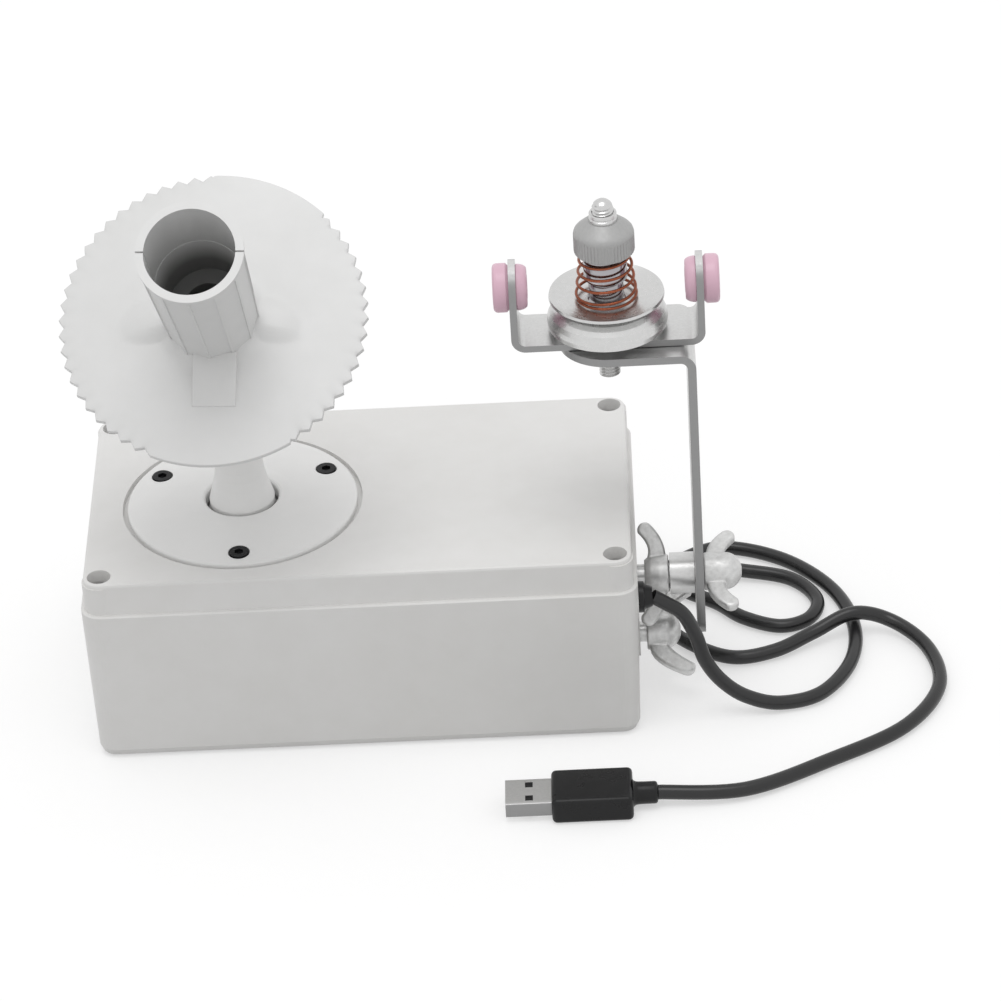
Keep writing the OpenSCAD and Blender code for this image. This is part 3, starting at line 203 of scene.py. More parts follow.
def thread_rod(bm, radius, low, high, pitch, depth=0.55, steps=28, dome=2.6):
    """A screw thread between two heights, cut flat below and rounded off at the top"""
    minor = radius - depth
    verts, edges = outline_edges(bm, [
        (minor * MM, 0, (low - pitch) * MM),
        (radius * MM, 0, (low - pitch * 0.56) * MM),
        (radius * MM, 0, (low - pitch * 0.44) * MM),
        (minor * MM, 0, low * MM)])
    turns = math.ceil((high - low) / pitch) + 2
    bmesh.ops.spin(
        bm, geom=verts + edges, cent=(0, 0, 0), axis=(0, 0, 1), dvec=(0, 0, pitch * MM / steps),
        angle=2 * math.pi * turns, steps=steps * turns, use_duplicate=False)
    bmesh.ops.remove_doubles(bm, verts=bm.verts, dist=2e-6)
    for height, normal in ((low, (0, 0, -1)), (high, (0, 0, 1))):
        cut = bmesh.ops.bisect_plane(
            bm, geom=bm.verts[:] + bm.edges[:] + bm.faces[:], dist=1e-7,
            plane_co=(0, 0, height * MM), plane_no=normal, clear_outer=True)
        rim = [e for e in cut["geom_cut"] if isinstance(e, bmesh.types.BMEdge)]
        bmesh.ops.holes_fill(bm, edges=rim)
    for vert in bm.verts:
        part = (vert.co.z / MM - high + dome) / dome
        if part > 0:
            limit = radius * math.sqrt(1 - 0.9 * min(part, 1) ** 2) * MM
            around = vert.co.xy.length
            if around > limit:
                vert.co.xy *= limit / around


def ring(bm, radius, height, segments, dip=0.0):
    """A level circle whose every second corner is drawn in by dip, in millimetres"""
    made = bmesh.ops.create_circle(bm, cap_ends=False, segments=segments, radius=radius * MM)["verts"]
    bmesh.ops.translate(bm, verts=made, vec=(0, 0, height * MM))
    if dip:
        inner = (radius - dip) / radius
        bmesh.ops.scale(bm, verts=made[::2], vec=(inner, inner, 1))
    return list({edge for vert in made for edge in vert.link_edges})


def loft(bm, loops):
    """Bridge a row of edge loops, and the last to the first"""
    for low, high in zip(loops, loops[1:] + loops[:1]):
        bmesh.ops.bridge_loops(bm, edges=low + high)


def block(bm, low, high):
    """A box between two corners, in millimetres, with its new faces returned"""
    low, high = Vector(low) * MM, Vector(high) * MM
    middle, size = (low + high) / 2, high - low
    place = Matrix.Translation(middle) @ Matrix.Diagonal((*size, 1))
    made = bmesh.ops.create_cube(bm, size=1.0, matrix=place)["verts"]
    return list({face for vert in made for face in vert.link_faces})


def round_edges(bm, edges, width, segments=3):
    """Round edges off by a width in millimetres"""
    bmesh.ops.bevel(
        bm, geom=edges, offset=width * MM, offset_type="OFFSET", affect="EDGES",
        segments=segments, profile=0.5, material=-1, clamp_overlap=True)


def bend(start, pull, end, count=6):
    """Points on a curve from start to end that leans towards pull"""
    steps = (i / count for i in range(count + 1))
    return [
        tuple(a * (1 - t) ** 2 + 2 * b * t * (1 - t) + c * t * t for a, b, c in zip(start, pull, end))
        for t in steps]


def plate(bm, outline, thick, edge):
    """A plate with a (x, z) outline in millimetres, its edges rounded off"""
    verts = [bm.verts.new((x * MM, -thick / 2 * MM, z * MM)) for x, z in outline]
    grown = bmesh.ops.extrude_face_region(bm, geom=[bm.faces.new(verts)])["geom"]
    moved = [v for v in grown if isinstance(v, bmesh.types.BMVert)]
    bmesh.ops.translate(bm, verts=moved, vec=(0, thick * MM, 0))
    rim = {e for v in verts + moved for e in v.link_edges if len({v.co.y for v in e.verts}) == 1}
    round_edges(bm, list(rim), edge)


def fuse(piece, voxel, passes):
    """Melt the shells of a piece into one skin and soften it, as a casting comes out of its mould"""
    melt = piece.modifiers.new("melt", "REMESH")
    melt.mode = "VOXEL"
    melt.voxel_size = voxel * MM
    soften = piece.modifiers.new("soften", "SMOOTH")
    soften.factor = 0.5
    soften.iterations = passes
    bpy.context.view_layer.update()
    ready = piece.evaluated_get(bpy.context.evaluated_depsgraph_get())
    rough, piece.data = piece.data, bpy.data.meshes.new_from_object(ready)
    piece.modifiers.clear()
    bpy.data.meshes.remove(rough)
    piece.data.shade_smooth()


def wire_mesh(name, points, thickness):
    """A round wire along a row of points, with closed ends, as a mesh object"""
    line = bpy.data.curves.new(name + "_line", "CURVE")
    line.dimensions = "3D"
    spline = line.splines.new("POLY")
    spline.points.add(len(points) - 1)
    for slot, point in zip(spline.points, points):
        slot.co = (*point, 1.0)
    line.bevel_depth = thickness / 2
    line.bevel_resolution = 4
    line.use_fill_caps = True
    carrier = add(name + "_line", line)
    bpy.context.view_layer.update()
    evaluated = carrier.evaluated_get(bpy.context.evaluated_depsgraph_get())
    bm = bmesh.new()
    bm.from_mesh(evaluated.to_mesh())
    evaluated.to_mesh_clear()
    bpy.data.objects.remove(carrier)
    bpy.data.curves.remove(line)
    bmesh.ops.remove_doubles(bm, verts=bm.verts, dist=1e-7)
    return new_piece(bm, name, smooth_angle=60)


# Shader groups that several finishes share

def new_group(name, inputs, outputs):
    """An empty shader group with named sockets, its input and output nodes and its tree"""
    tree = bpy.data.node_groups.new(name, "ShaderNodeTree")
    for label, kind, default in inputs:
        socket = tree.interface.new_socket(name=label, in_out="INPUT", socket_type=kind)
        if default is not None:
            socket.default_value = default
    for label, kind in outputs:
        tree.interface.new_socket(name=label, in_out="OUTPUT", socket_type=kind)
    return tree, tree.nodes.new("NodeGroupInput"), tree.nodes.new("NodeGroupOutput")


def feed(place, value):
    """Set a socket to a value, or link another socket to it"""
    if isinstance(value, bpy.types.NodeSocket):
        place.id_data.links.new(value, place)
    else:
        place.default_value = value


def noise(tree, vector, scale, detail=4.0, roughness=0.55):
    """A noise texture whose scale is a number or a socket"""
    node = tree.nodes.new("ShaderNodeTexNoise")
    feed(node.inputs["Detail"], detail)
    feed(node.inputs["Roughness"], roughness)
    feed(node.inputs["Vector"], vector)
    feed(node.inputs["Scale"], scale)
    return node.outputs["Fac"]


def maths(tree, operation, first, second):
    """A math node on sockets or numbers"""
    node = tree.nodes.new("ShaderNodeMath")
    node.operation = operation
    for place, value in zip(node.inputs, (first, second)):
        feed(place, value)
    return node.outputs["Value"]


def spread(tree, value, low, high, to_low, to_high):
    """Stretch a value from one range to another, clamped; the ends may be sockets"""
    node = tree.nodes.new("ShaderNodeMapRange")
    for label, end in (("From Min", low), ("From Max", high), ("To Min", to_low), ("To Max", to_high)):
        feed(node.inputs[label], end)
    feed(node.inputs["Value"], value)
    return node.outputs["Result"]


def axes(tree, vector):
    """The three parts of a vector"""
    node = tree.nodes.new("ShaderNodeSeparateXYZ")
    feed(node.inputs["Vector"], vector)
    return [node.outputs[label] for label in "XYZ"]


def mixed(tree, mask, first, second):
    """Mix two colours by a mask"""
    node = tree.nodes.new("ShaderNodeMix")
    node.data_type = "RGBA"
    feed(node.inputs["Factor"], mask)
    for label, value in (("A", first), ("B", second)):
        place = next(s for s in node.inputs if s.name == label and s.type == "RGBA")
        feed(place, value if isinstance(value, bpy.types.NodeSocket) else (*value, 1.0))
    return next(s for s in node.outputs if s.type == "RGBA")


def handled_group():
    """Broad uneven tone and gloss, as hands and use leave it"""
    tree, given, put = new_group("handled", (
        ("Vector", "NodeSocketVector", None),
        ("Scale", "NodeSocketFloat", 14.0),
        ("Fresh", "NodeSocketColor", None),
        ("Handled", "NodeSocketColor", None),
        ("Smooth", "NodeSocketFloat", 0.3),
        ("Rough", "NodeSocketFloat", 0.45),
    ), (("Color", "NodeSocketColor"), ("Roughness", "NodeSocketFloat")))
    broad = noise(tree, given.outputs["Vector"], given.outputs["Scale"], detail=3.0)
    finer = maths(tree, "MULTIPLY", given.outputs["Scale"], 9.0)
    fine = noise(tree, given.outputs["Vector"], finer, detail=5.0, roughness=0.6)
    both = maths(tree, "ADD", maths(tree, "MULTIPLY", broad, 0.65), maths(tree, "MULTIPLY", fine, 0.35))
    mask = spread(tree, both, 0.36, 0.66, 0.0, 1.0)
    tone = mixed(tree, mask, given.outputs["Fresh"], given.outputs["Handled"])
    feed(put.inputs["Color"], tone)
    gloss = spread(tree, both, 0.34, 0.68, given.outputs["Smooth"], given.outputs["Rough"])
    feed(put.inputs["Roughness"], gloss)
    return tree


def moulded_group():
    """The even fine texture that a spark eroded mould leaves on plastic and rubber"""
    tree, given, put = new_group("moulded", (
        ("Vector", "NodeSocketVector", None),
        ("Scale", "NodeSocketFloat", 1600.0),
    ), (("Height", "NodeSocketFloat"),))
    fine = noise(tree, given.outputs["Vector"], given.outputs["Scale"], detail=2.0)
    wide = maths(tree, "MULTIPLY", given.outputs["Scale"], 0.05)
    flow = noise(tree, given.outputs["Vector"], wide, detail=2.0)
    height = maths(tree, "ADD", maths(tree, "MULTIPLY", fine, 0.4), maths(tree, "MULTIPLY", flow, 0.6))
    feed(put.inputs["Height"], height)
    return tree


def drawn_group():
    """Fine lines along one way of the metal, from rolling, brushing or turning"""
    tree, given, put = new_group("drawn", (
        ("Vector", "NodeSocketVector", None),
        ("Stretch", "NodeSocketVector", (900.0, 30.0, 30.0)),
    ), (("Height", "NodeSocketFloat"), ("Mask", "NodeSocketFloat")))
    spacing = tree.nodes.new("ShaderNodeVectorMath")
    spacing.operation = "MULTIPLY"
    feed(spacing.inputs[0], given.outputs["Vector"])
    feed(spacing.inputs[1], given.outputs["Stretch"])
    lines = noise(tree, spacing.outputs["Vector"], 1.0, detail=6.0, roughness=0.7)
    feed(put.inputs["Height"], lines)
    feed(put.inputs["Mask"], spread(tree, lines, 0.3, 0.7, 0.0, 1.0))
    return tree


def cast_group():
    """Pitted mottled skin of a die casting"""
    tree, given, put = new_group("cast_skin", (
        ("Vector", "NodeSocketVector", None),
        ("Scale", "NodeSocketFloat", 420.0),
    ), (("Height", "NodeSocketFloat"), ("Mask", "NodeSocketFloat")))
    cells = tree.nodes.new("ShaderNodeTexVoronoi")
    cells.feature = "SMOOTH_F1"
    feed(cells.inputs["Vector"], given.outputs["Vector"])
    feed(cells.inputs["Scale"], given.outputs["Scale"])
    mottle = noise(tree, given.outputs["Vector"], given.outputs["Scale"], detail=5.0, roughness=0.65)
    height = maths(tree, "ADD", maths(tree, "MULTIPLY", cells.outputs["Distance"], 0.5), mottle)
    feed(put.inputs["Height"], height)
    feed(put.inputs["Mask"], spread(tree, mottle, 0.35, 0.65, 0.0, 1.0))
    return tree


def darker(tint, by):
    """A colour times a number"""
    return tuple(part * by for part in tint)


class Finishes:
    """Makes each material once, from the colours in the sidebar"""

    # Gloss at its smoothest and roughest, grain and depth of the spool's plastic
    SPOOL_SKIN = (0.27, 0.38, 900.0, 0.00003)

    # The tube's bore in the spool's own frame, in metres: heights and radii of its step, then the heights
    # between which painted shade darkens the bore towards its floor, and its strength
    BORE_STEP, BORE_RADII = (0.050, 0.056), (0.0118, 0.0128)
    DUST_FROM, DUST_TO, DUST = 0.062, 0.052, 0.78

    # How far a normal leans towards Y where a face of the strip takes the darker edge tone: duller sheared
    # edges, and painted shade on faces that look along Y
    EDGE_SHADE_LEAN = (0.25, 0.5)

    BLACKED, BLACKED_WORN = (0.012, 0.012, 0.013), (0.007, 0.007, 0.008)

    # Inputs of single finishes that differ from their kind
    OTHERS = {
        "soft_black": {"Specular IOR Level": 0.24},
        "board_green": {"Coat Weight": 0.4},
        "matt_nickel": {"Metallic": 0.35},
        "screw_black": {"Metallic": 0.0, "Specular IOR Level": 0.22},
    }

    def __init__(self, paint):
        self.paint = paint
        self.handled = handled_group()
        self.moulded = moulded_group()
        self.drawn = drawn_group()
        self.cast = cast_group()

    def start(self, name):
        """A new material with its object coordinates and its shader"""
        material = bpy.data.materials.new(name)
        material.use_nodes = True
        tree = material.node_tree
        where = tree.nodes.new("ShaderNodeTexCoord").outputs["Object"]
        shader = tree.nodes["Principled BSDF"]
        return tree, where, shader

    def use(self, tree, group, where, **values):
        """Place a shared group in a material with its own values"""
        node = tree.nodes.new("ShaderNodeGroup")
        node.node_tree = group
        feed(node.inputs["Vector"], where)
        for label, value in values.items():
            feed(node.inputs[label], value)
        return node.outputs

    def tone(self, tree, where, shader, fresh, worn, scale, smooth, rough):
        """Uneven tone and gloss on a shader"""
        out = self.use(
            tree, self.handled, where, Scale=scale, Fresh=(*fresh, 1), Handled=(*worn, 1),
            Smooth=smooth, Rough=rough)
        feed(shader.inputs["Base Color"], out["Color"])
        feed(shader.inputs["Roughness"], out["Roughness"])
        return out

    def bump(self, tree, height, shader, depth, strength):
        """Raise a surface by a height, depth in metres"""
        node = tree.nodes.new("ShaderNodeBump")
        feed(node.inputs["Strength"], strength)
        feed(node.inputs["Distance"], depth)
        feed(node.inputs["Height"], height)
        feed(shader.inputs["Normal"], node.outputs["Normal"])

    def plastic(self, name, fresh, worn, smooth, rough, grain, depth):
        """Moulded plastic with a faint texture"""
        tree, where, shader = self.start(name)
        self.tone(tree, where, shader, fresh, worn, 13.0, smooth, rough)
        height = self.use(tree, self.moulded, where, Scale=grain)["Height"]
        self.bump(tree, height, shader, depth, 0.35)
        feed(shader.inputs["IOR"], 1.49)
        return shader

    def tube(self, name, fresh, worn, deep):
        """The spool's plastic, with painted shade that darkens the tube's bore towards its floor"""
        shader = self.plastic(name, fresh, worn, *self.SPOOL_SKIN)
        tree = shader.id_data
        clean = shader.inputs["Base Color"].links[0].from_socket
        where = tree.nodes["Texture Coordinate"].outputs["Object"]
        local = tree.nodes.new("ShaderNodeMapping")
        local.vector_type = "TEXTURE"
        feed(local.inputs["Location"], SPOOL_PLACE.to_translation())
        feed(local.inputs["Rotation"], SPOOL_PLACE.to_euler("XYZ"))
        feed(local.inputs["Vector"], where)
        x, y, z = axes(tree, local.outputs["Vector"])
        around = maths(tree, "SQRT", maths(
            tree, "ADD", maths(tree, "MULTIPLY", x, x), maths(tree, "MULTIPLY", y, y)), 0.0)
        wall = spread(tree, z, *self.BORE_STEP, *self.BORE_RADII)
        inside = maths(tree, "LESS_THAN", around, wall)
        # Painted shade: inside the bore the plastic darkens with depth below its step
        depth = spread(tree, z, self.DUST_FROM, self.DUST_TO, 0.0, self.DUST)
        painted_shade = maths(tree, "MULTIPLY", inside, depth)
        feed(shader.inputs["Base Color"], mixed(tree, painted_shade, clean, deep))

    def metal(self, name, fresh, worn, size, smooth, rough, depth):
        """Bare metal, with drawn lines where three stretches are given and else with a cast skin"""
        tree, where, shader = self.start(name)
        if isinstance(size, tuple):
            skin, strength = self.use(tree, self.drawn, where, Stretch=size), 0.3
        else:
            skin, strength = self.use(tree, self.cast, where, Scale=size), 0.6
        feed(shader.inputs["Base Color"], mixed(tree, skin["Mask"], fresh, worn))
        gloss = spread(tree, skin["Mask"], 0.0, 1.0, smooth, rough)
        feed(shader.inputs["Roughness"], gloss)
        self.bump(tree, skin["Height"], shader, depth, strength)
        feed(shader.inputs["Metallic"], 1.0)
        return shader

    def sheet(self, name, fresh, worn, edge):
        """Rolled strip whose faces that look along Y are duller and darker than its other faces: its sheared
        edges, and painted shade on sides such as the plug shell's
        """
        tree, where, shader = self.start(name)
        grain = self.use(tree, self.drawn, where, Stretch=(1300.0, 1300.0, 1300.0))
        lean = maths(tree, "ABSOLUTE", axes(tree, where.node.outputs["Normal"])[1], 0.0)
        # Painted shade, with the duller cut edges: faces that look along Y take the darker edge tone
        edge_shade = spread(tree, lean, *self.EDGE_SHADE_LEAN, 0.0, 1.0)
        face = mixed(tree, grain["Mask"], fresh, worn)
        feed(shader.inputs["Base Color"], mixed(tree, edge_shade, face, edge))
        gloss = spread(tree, grain["Mask"], 0.0, 1.0, 0.30, 0.40)
        dull = maths(tree, "ADD", gloss, maths(tree, "MULTIPLY", edge_shade, 0.08))
        feed(shader.inputs["Roughness"], dull)
        self.bump(tree, grain["Height"], shader, 0.00002, 0.3)
        feed(shader.inputs["Metallic"], 1.0)

    def build(self):
        """All the finishes of the winder"""
        paint = self.paint
        even = (1300.0, 1300.0, 1300.0)
        for make, name, fresh, worn, *values in (
            (self.plastic, "box_white", paint.shell, paint.shell_worn, 0.36, 0.47, 1500.0, 0.00006),
            # Painted light: the plate and neck wear the box's white made lighter against the spool's shade
            (self.plastic, "plate_white", paint.plate, 0.95, 0.34, 0.45, 1500.0, 0.00005),
            (self.plastic, "spool_white", paint.spool, paint.spool_worn, *self.SPOOL_SKIN),
            # The tube's last colour is the painted shade deep in its bore
            (self.tube, "tube_white", paint.spool, paint.spool_worn, darker(paint.spool, 0.08)),
            (self.plastic, "soft_black", paint.rubber, 1.5, 0.24, 0.34, 2200.0, 0.00003),
            (self.plastic, "cord_black", paint.rubber, 1.5, 0.24, 0.32, 2200.0, 0.00003),
            (self.plastic, "board_green", paint.board, 0.6, 0.3, 0.5, 700.0, 0.00008),
            (self.plastic, "rose_ceramic", paint.ceramic, 0.92, 0.30, 0.42, 900.0, 0.00003),
            (self.sheet, "sheet_steel", paint.satin_steel, 0.9, paint.cut_edge_shade),
            (self.metal, "satin_steel", paint.satin_steel, 0.9, even, 0.30, 0.40, 0.00002),
            (self.metal, "dish_steel", paint.dish_steel, 0.93, (700.0, 700.0, 700.0), 0.25, 0.33, 0.00001),
            (self.metal, "post_steel", paint.bright_steel, 0.92, (500.0, 500.0, 900.0), 0.24, 0.32, 0.00001),
            (self.metal, "turned_steel", paint.turned_steel, 0.85, (60.0, 60.0, 1400.0), 0.12, 0.2, 0.00001),
            (self.metal, "spring_copper", paint.copper, 0.62, (400.0, 400.0, 900.0), 0.22, 0.34, 0.00002),
            (self.metal, "cut_brass", paint.brass, 0.8, (300.0, 300.0, 500.0), 0.22, 0.36, 0.00002),
            (self.metal, "cast_grey", paint.cast_metal, 0.88, 760.0, 0.4, 0.52, 0.00006),
            (self.metal, "matt_nickel", paint.matt_nickel, 0.95, 900.0, 0.44, 0.52, 0.00002),
            (self.metal, "screw_black", self.BLACKED, self.BLACKED_WORN, 500.0, 0.34, 0.46, 0.00003),
        ):
            if isinstance(worn, float):
                worn = darker(fresh, worn)
            shader = make(name, fresh, worn, *values)
            for label, value in self.OTHERS.get(name, {}).items():
                feed(shader.inputs[label], value)


# Which finish each solid of the frame wears
WEARS = {
    "box_white": ("box_base", "box_lid"),
    "plate_white": ("cover_plate", "neck_sleeve"),
    "spool_white": ("spool_disc", "head_housing", "head_cap", "drive_gear"),
    "tube_white": ("core_tube",),
    "screw_black": ("cover_screws", "cap_screws"),
    "sheet_steel": ("arm_bar", "eyelet_bracket", "motor_bracket", "plug_shell"),
    "satin_steel": (
        "centre_rod", "column_shaft", "shaft_collar", "spool_spindle", "upper_bolt", "lower_bolt",
        "slot_bush", "motor_screws", "board_screws", "post_nut", "spool_nut", "control_nut", "lid_screws"),
    "dish_steel": ("lower_dish", "upper_dish"),
    "post_steel": ("column_bearings", "post", "motor", "speed_control"),
    "turned_steel": ("spring_guide",),
    "cast_grey": ("wing_nut_inner", "wing_nut_lower", "wing_nut_outer"),
    "matt_nickel": ("tension_nut",),
    "cut_brass": ("sun_gear", "planet_gear", "motor_pinion", "spindle_bushes"),
    "rose_ceramic": ("eyelet_left", "eyelet_right", "eyelet_rings"),
    "spring_copper": ("tension_spring",),
    "soft_black": ("cord_grommet", "plug_boot", "plug_grip", "speed_knob"),
    "cord_black": ("usb_cord",),
    "board_green": ("control_board",),
}


def wear(piece, finish):
    """Give a piece one of the finishes"""
    piece.data.materials.clear()
    piece.data.materials.append(bpy.data.materials[finish])


def claim(piece, body, slot, finish, *nodes):
    """A piece takes the place of solids of the frame and moves with their body"""
    wear(piece, finish)
    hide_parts(*nodes)
    if body:
        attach(piece, body)
    return piece


# Operators

class WINDER_OT_camera(Operator):
    """Set the camera where the photograph was taken from"""
    bl_idname = "winder.camera"
    bl_label = "Camera"

    # Place in millimetres, the way it looks, roll in degrees, lens and sensor in millimetres
    PLACE, AHEAD, ROLL = (78.315, -1250.509, 880.171), (-0.02520, 0.83404, -0.55113), -3.60
    LENS, SENSOR = 186.69, 36.0

    def execute(self, context):
        place = Vector(self.PLACE) * MM
        ahead = Vector(self.AHEAD).normalized()
        roll = math.radians(self.ROLL)
        right = ahead.cross(Vector((0, 0, 1))).normalized()
        up = right.cross(ahead)
        right, up = (
            right * math.cos(roll) + up * math.sin(roll),
            up * math.cos(roll) - right * math.sin(roll))
        lens = bpy.data.cameras.new("photo_camera")
        lens.lens = self.LENS
        lens.sensor_width = self.SENSOR
        lens.sensor_fit = "HORIZONTAL"
        lens.clip_start = 0.05
        lens.clip_end = 30.0
        camera = add("photo_camera", lens)
        facing = Matrix((right, up, -ahead)).transposed().to_4x4()
        camera.matrix_world = Matrix.Translation(place) @ facing
        context.scene.camera = camera
        return {"FINISHED"}


class WINDER_OT_finishes(Operator):
    """Make the materials and put them on the solids of the frame"""
    bl_idname = "winder.finishes"
    bl_label = "Finishes"

    def execute(self, context):
        Finishes(context.scene.winder_finish).build()
        for finish, nodes in WEARS.items():
            for node in nodes:
                wear(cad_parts[node], finish)
        return {"FINISHED"}


class WINDER_OT_cord(Operator):
    """Lay the lead along its route, from the grommet to the plug"""
    bl_idname = "winder.cord"
    bl_label = "Cord"

    def execute(self, context):
        size = context.scene.winder_sizes
        route = [Vector(point) * MM for point in CORD_ROUTE]
        line = bpy.data.curves.new("lead", "CURVE")
        line.dimensions = "3D"
        line.bevel_depth = size.cord_diameter / 2
        line.bevel_resolution = 5
        line.resolution_u = 10
        line.use_fill_caps = True
        spline = line.splines.new("BEZIER")
        spline.bezier_points.add(len(route) - 1)
        last = len(route) - 1
        for index, point in enumerate(spline.bezier_points):
            before, after = route[max(index - 1, 0)], route[min(index + 1, last)]
            pull = (after - before) / 6
            point.co = route[index]
            point.handle_left_type = point.handle_right_type = "FREE"
            point.handle_left = route[index] - pull
            point.handle_right = route[index] + pull
        lead = add("lead", line)
        claim(lead, "box", "black_rubber", "cord_black", "usb_cord")
        return {"FINISHED"}

    @staticmethod
    def run(spline):
        """Length of the lead along its bends"""
        total = 0.0
        points = spline.bezier_points
        for a, b in zip(points, points[1:]):
            steps = [
                a.co * (1 - t) ** 3 + a.handle_right * 3 * t * (1 - t) ** 2
                + b.handle_left * 3 * t * t * (1 - t) + b.co * t ** 3
                for t in (i / 16 for i in range(17))]
            total += sum((q - p).length for p, q in zip(steps, steps[1:]))
        return total


class WINDER_OT_plug(Operator):
    """Mould the plug: its boot, its grip and its steel shell"""
    bl_idname = "winder.plug"
    bl_label = "Plug"

    # In millimetres: the plug's middle, half the shell's height, and the latch windows' ends from the middle
    MIDDLE_Y, MIDDLE_Z = -77, 4
    HALF_HIGH = 2.25
    WINDOW_X, WINDOW_Y = (44.6, 46.8), (1.9, 4.3)
    SUNK = 0.35

    def execute(self, context):
        self.boot()
        self.grip()
        self.shell()
        return {"FINISHED"}

    def boot(self):
        """Plain round strain relief behind the grip"""
        outline = [(0, 0), (4.0, 0), (3.6, 0.3), (3.35, 0.8), (3.25, 1.5), (3.2, 3.0), (3.2, 6.1),
                   (3.1, 6.5), (2.85, 6.8), (2.2, 7.0), (0, 7.0)]
        bm = bmesh.new()
        turn_outline(bm, outline, steps=40)
        lay_along_x(bm)
        move_all(bm, 75, self.MIDDLE_Y, self.MIDDLE_Z)
        claim(new_piece(bm, "lead_boot"), "box", "black_rubber", "soft_black", "plug_boot")

    def grip(self):
        """Plain grip with softened edges"""
        bm = bmesh.new()
        faces = block(bm, (52, -85, 0), (75, -69, 8))
        round_edges(bm, list({edge for face in faces for edge in face.edges}), 1.5, segments=5)
        claim(new_piece(bm, "plug_moulding", 50), "box", "black_rubber", "soft_black", "plug_grip")

    def shell(self):
        """Folded sheet shell with two latch windows, open and hollow behind its mouth"""
        bm = bmesh.new()
        block(bm, (39, -83, 1.75), (52.2, -71, 6.25))
        long_edges = [e for e in bm.edges if abs((e.verts[0].co - e.verts[1].co).x) > 5 * MM]
        round_edges(bm, long_edges, 0.5, segments=3)
        mouth = min(bm.faces, key=lambda f: f.normal.x)
        bmesh.ops.inset_region(bm, faces=[mouth], thickness=0.38 * MM, depth=0, use_even_offset=True)
        deep = bmesh.ops.extrude_face_region(bm, geom=[mouth])
        moved = [v for v in deep["geom"] if isinstance(v, bmesh.types.BMVert)]
        bmesh.ops.delete(bm, geom=[mouth], context="FACES_ONLY")
        bmesh.ops.translate(bm, verts=moved, vec=(11.5 * MM, 0, 0))
        for x in self.WINDOW_X:
            self.slice(bm, (x, 0, 0), (1, 0, 0))
        near, far = self.WINDOW_Y
        for out in (-far, -near, near, far):
            self.slice(bm, (0, self.MIDDLE_Y + out, 0), (0, 1, 0))
        windows = [f for f in bm.faces if self.in_window(f.calc_center_median() / MM, 0)]
        sunk = bmesh.ops.extrude_discrete_faces(bm, faces=windows)["faces"]
        for face in sunk:
            bmesh.ops.translate(bm, verts=face.verts, vec=face.normal * -self.SUNK * MM)
        # The shell's sides look along Y, so the sheet's painted shade darkens them
        shell = claim(new_piece(bm, "plug_contact_shell"), "box", "bright_steel", "sheet_steel", "plug_shell")
        shell.data.materials.append(bpy.data.materials["soft_black"])
        for face in shell.data.polygons:
            if self.in_window(face.center / MM, self.SUNK):
                face.material_index = 1

    @staticmethod
    def slice(bm, point, normal):
        """Cut all faces along a plane, in millimetres"""
        bmesh.ops.bisect_plane(
            bm, geom=bm.verts[:] + bm.edges[:] + bm.faces[:], dist=1e-8,
            plane_co=Vector(point) * MM, plane_no=normal)

    def in_window(self, middle, depth):
        """Whether a point, in millimetres, is in a latch window at a depth below the shell's skin"""
        level = abs(abs(middle.z - self.MIDDLE_Z) - self.HALF_HIGH + depth) < 0.01
        near, far = self.WINDOW_Y
        start, end = self.WINDOW_X
        return level and start < middle.x < end and near < abs(middle.y - self.MIDDLE_Y) < far


class WINDER_OT_spring(Operator):
    """Wind the conical spring between the upper dish and the tension nut"""
    bl_idname = "winder.spring"
    bl_label = "Spring"

    # Heights and radii of the wire's ends in millimetres, bearing of its foot in degrees, points to a turn
    LOW, HIGH = 130.9, 144.35
    LOW_R, HIGH_R = 8.4, 7.0
    START = 200
    PER_TURN = 48

    # Pitch of the closed turn, in wires
    CLOSED = 1.03

    def coil_point(self, turn, turns, wire):
        """A point of the wire's centre line after some turns, the first of them closed on the dish"""
        angle = math.radians(360 * turn + self.START)
        around = self.LOW_R + (self.HIGH_R - self.LOW_R) * max(turn - 1, 0) / (turns - 1)
        rise = self.HIGH - self.LOW - wire
        height = self.LOW + wire * min(turn, 1) + rise * max(turn - 1, 0) / (turns - 1)
        return Vector((
            POST_X + around * math.cos(angle), POST_Y + around * math.sin(angle), height)) * MM

    def execute(self, context):
        size = context.scene.winder_sizes
        turns, wire = size.spring_turns, size.spring_wire
        points = [
            self.coil_point(i / self.PER_TURN, turns, wire / MM * self.CLOSED)
            for i in range(int(turns * self.PER_TURN) + 1)]
        seat = 2 * self.PER_TURN
        low, top = (points[i].z / MM for i in (self.PER_TURN, seat))
        for name, some, pair, ends in (
                ("spring_seat_turn", points[:seat + 1], ("high_dish", "mast"), (low + 0.1, top - 0.3)),
                ("spring_free_turns", points[seat:], ("mast", "guide"), (top + 0.3, self.HIGH + 0.2))):
            piece = wire_mesh(name, some, wire)
            claim(piece, None, "spring_wire", "spring_copper", "tension_spring")
            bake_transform(piece)
        return {"FINISHED"}


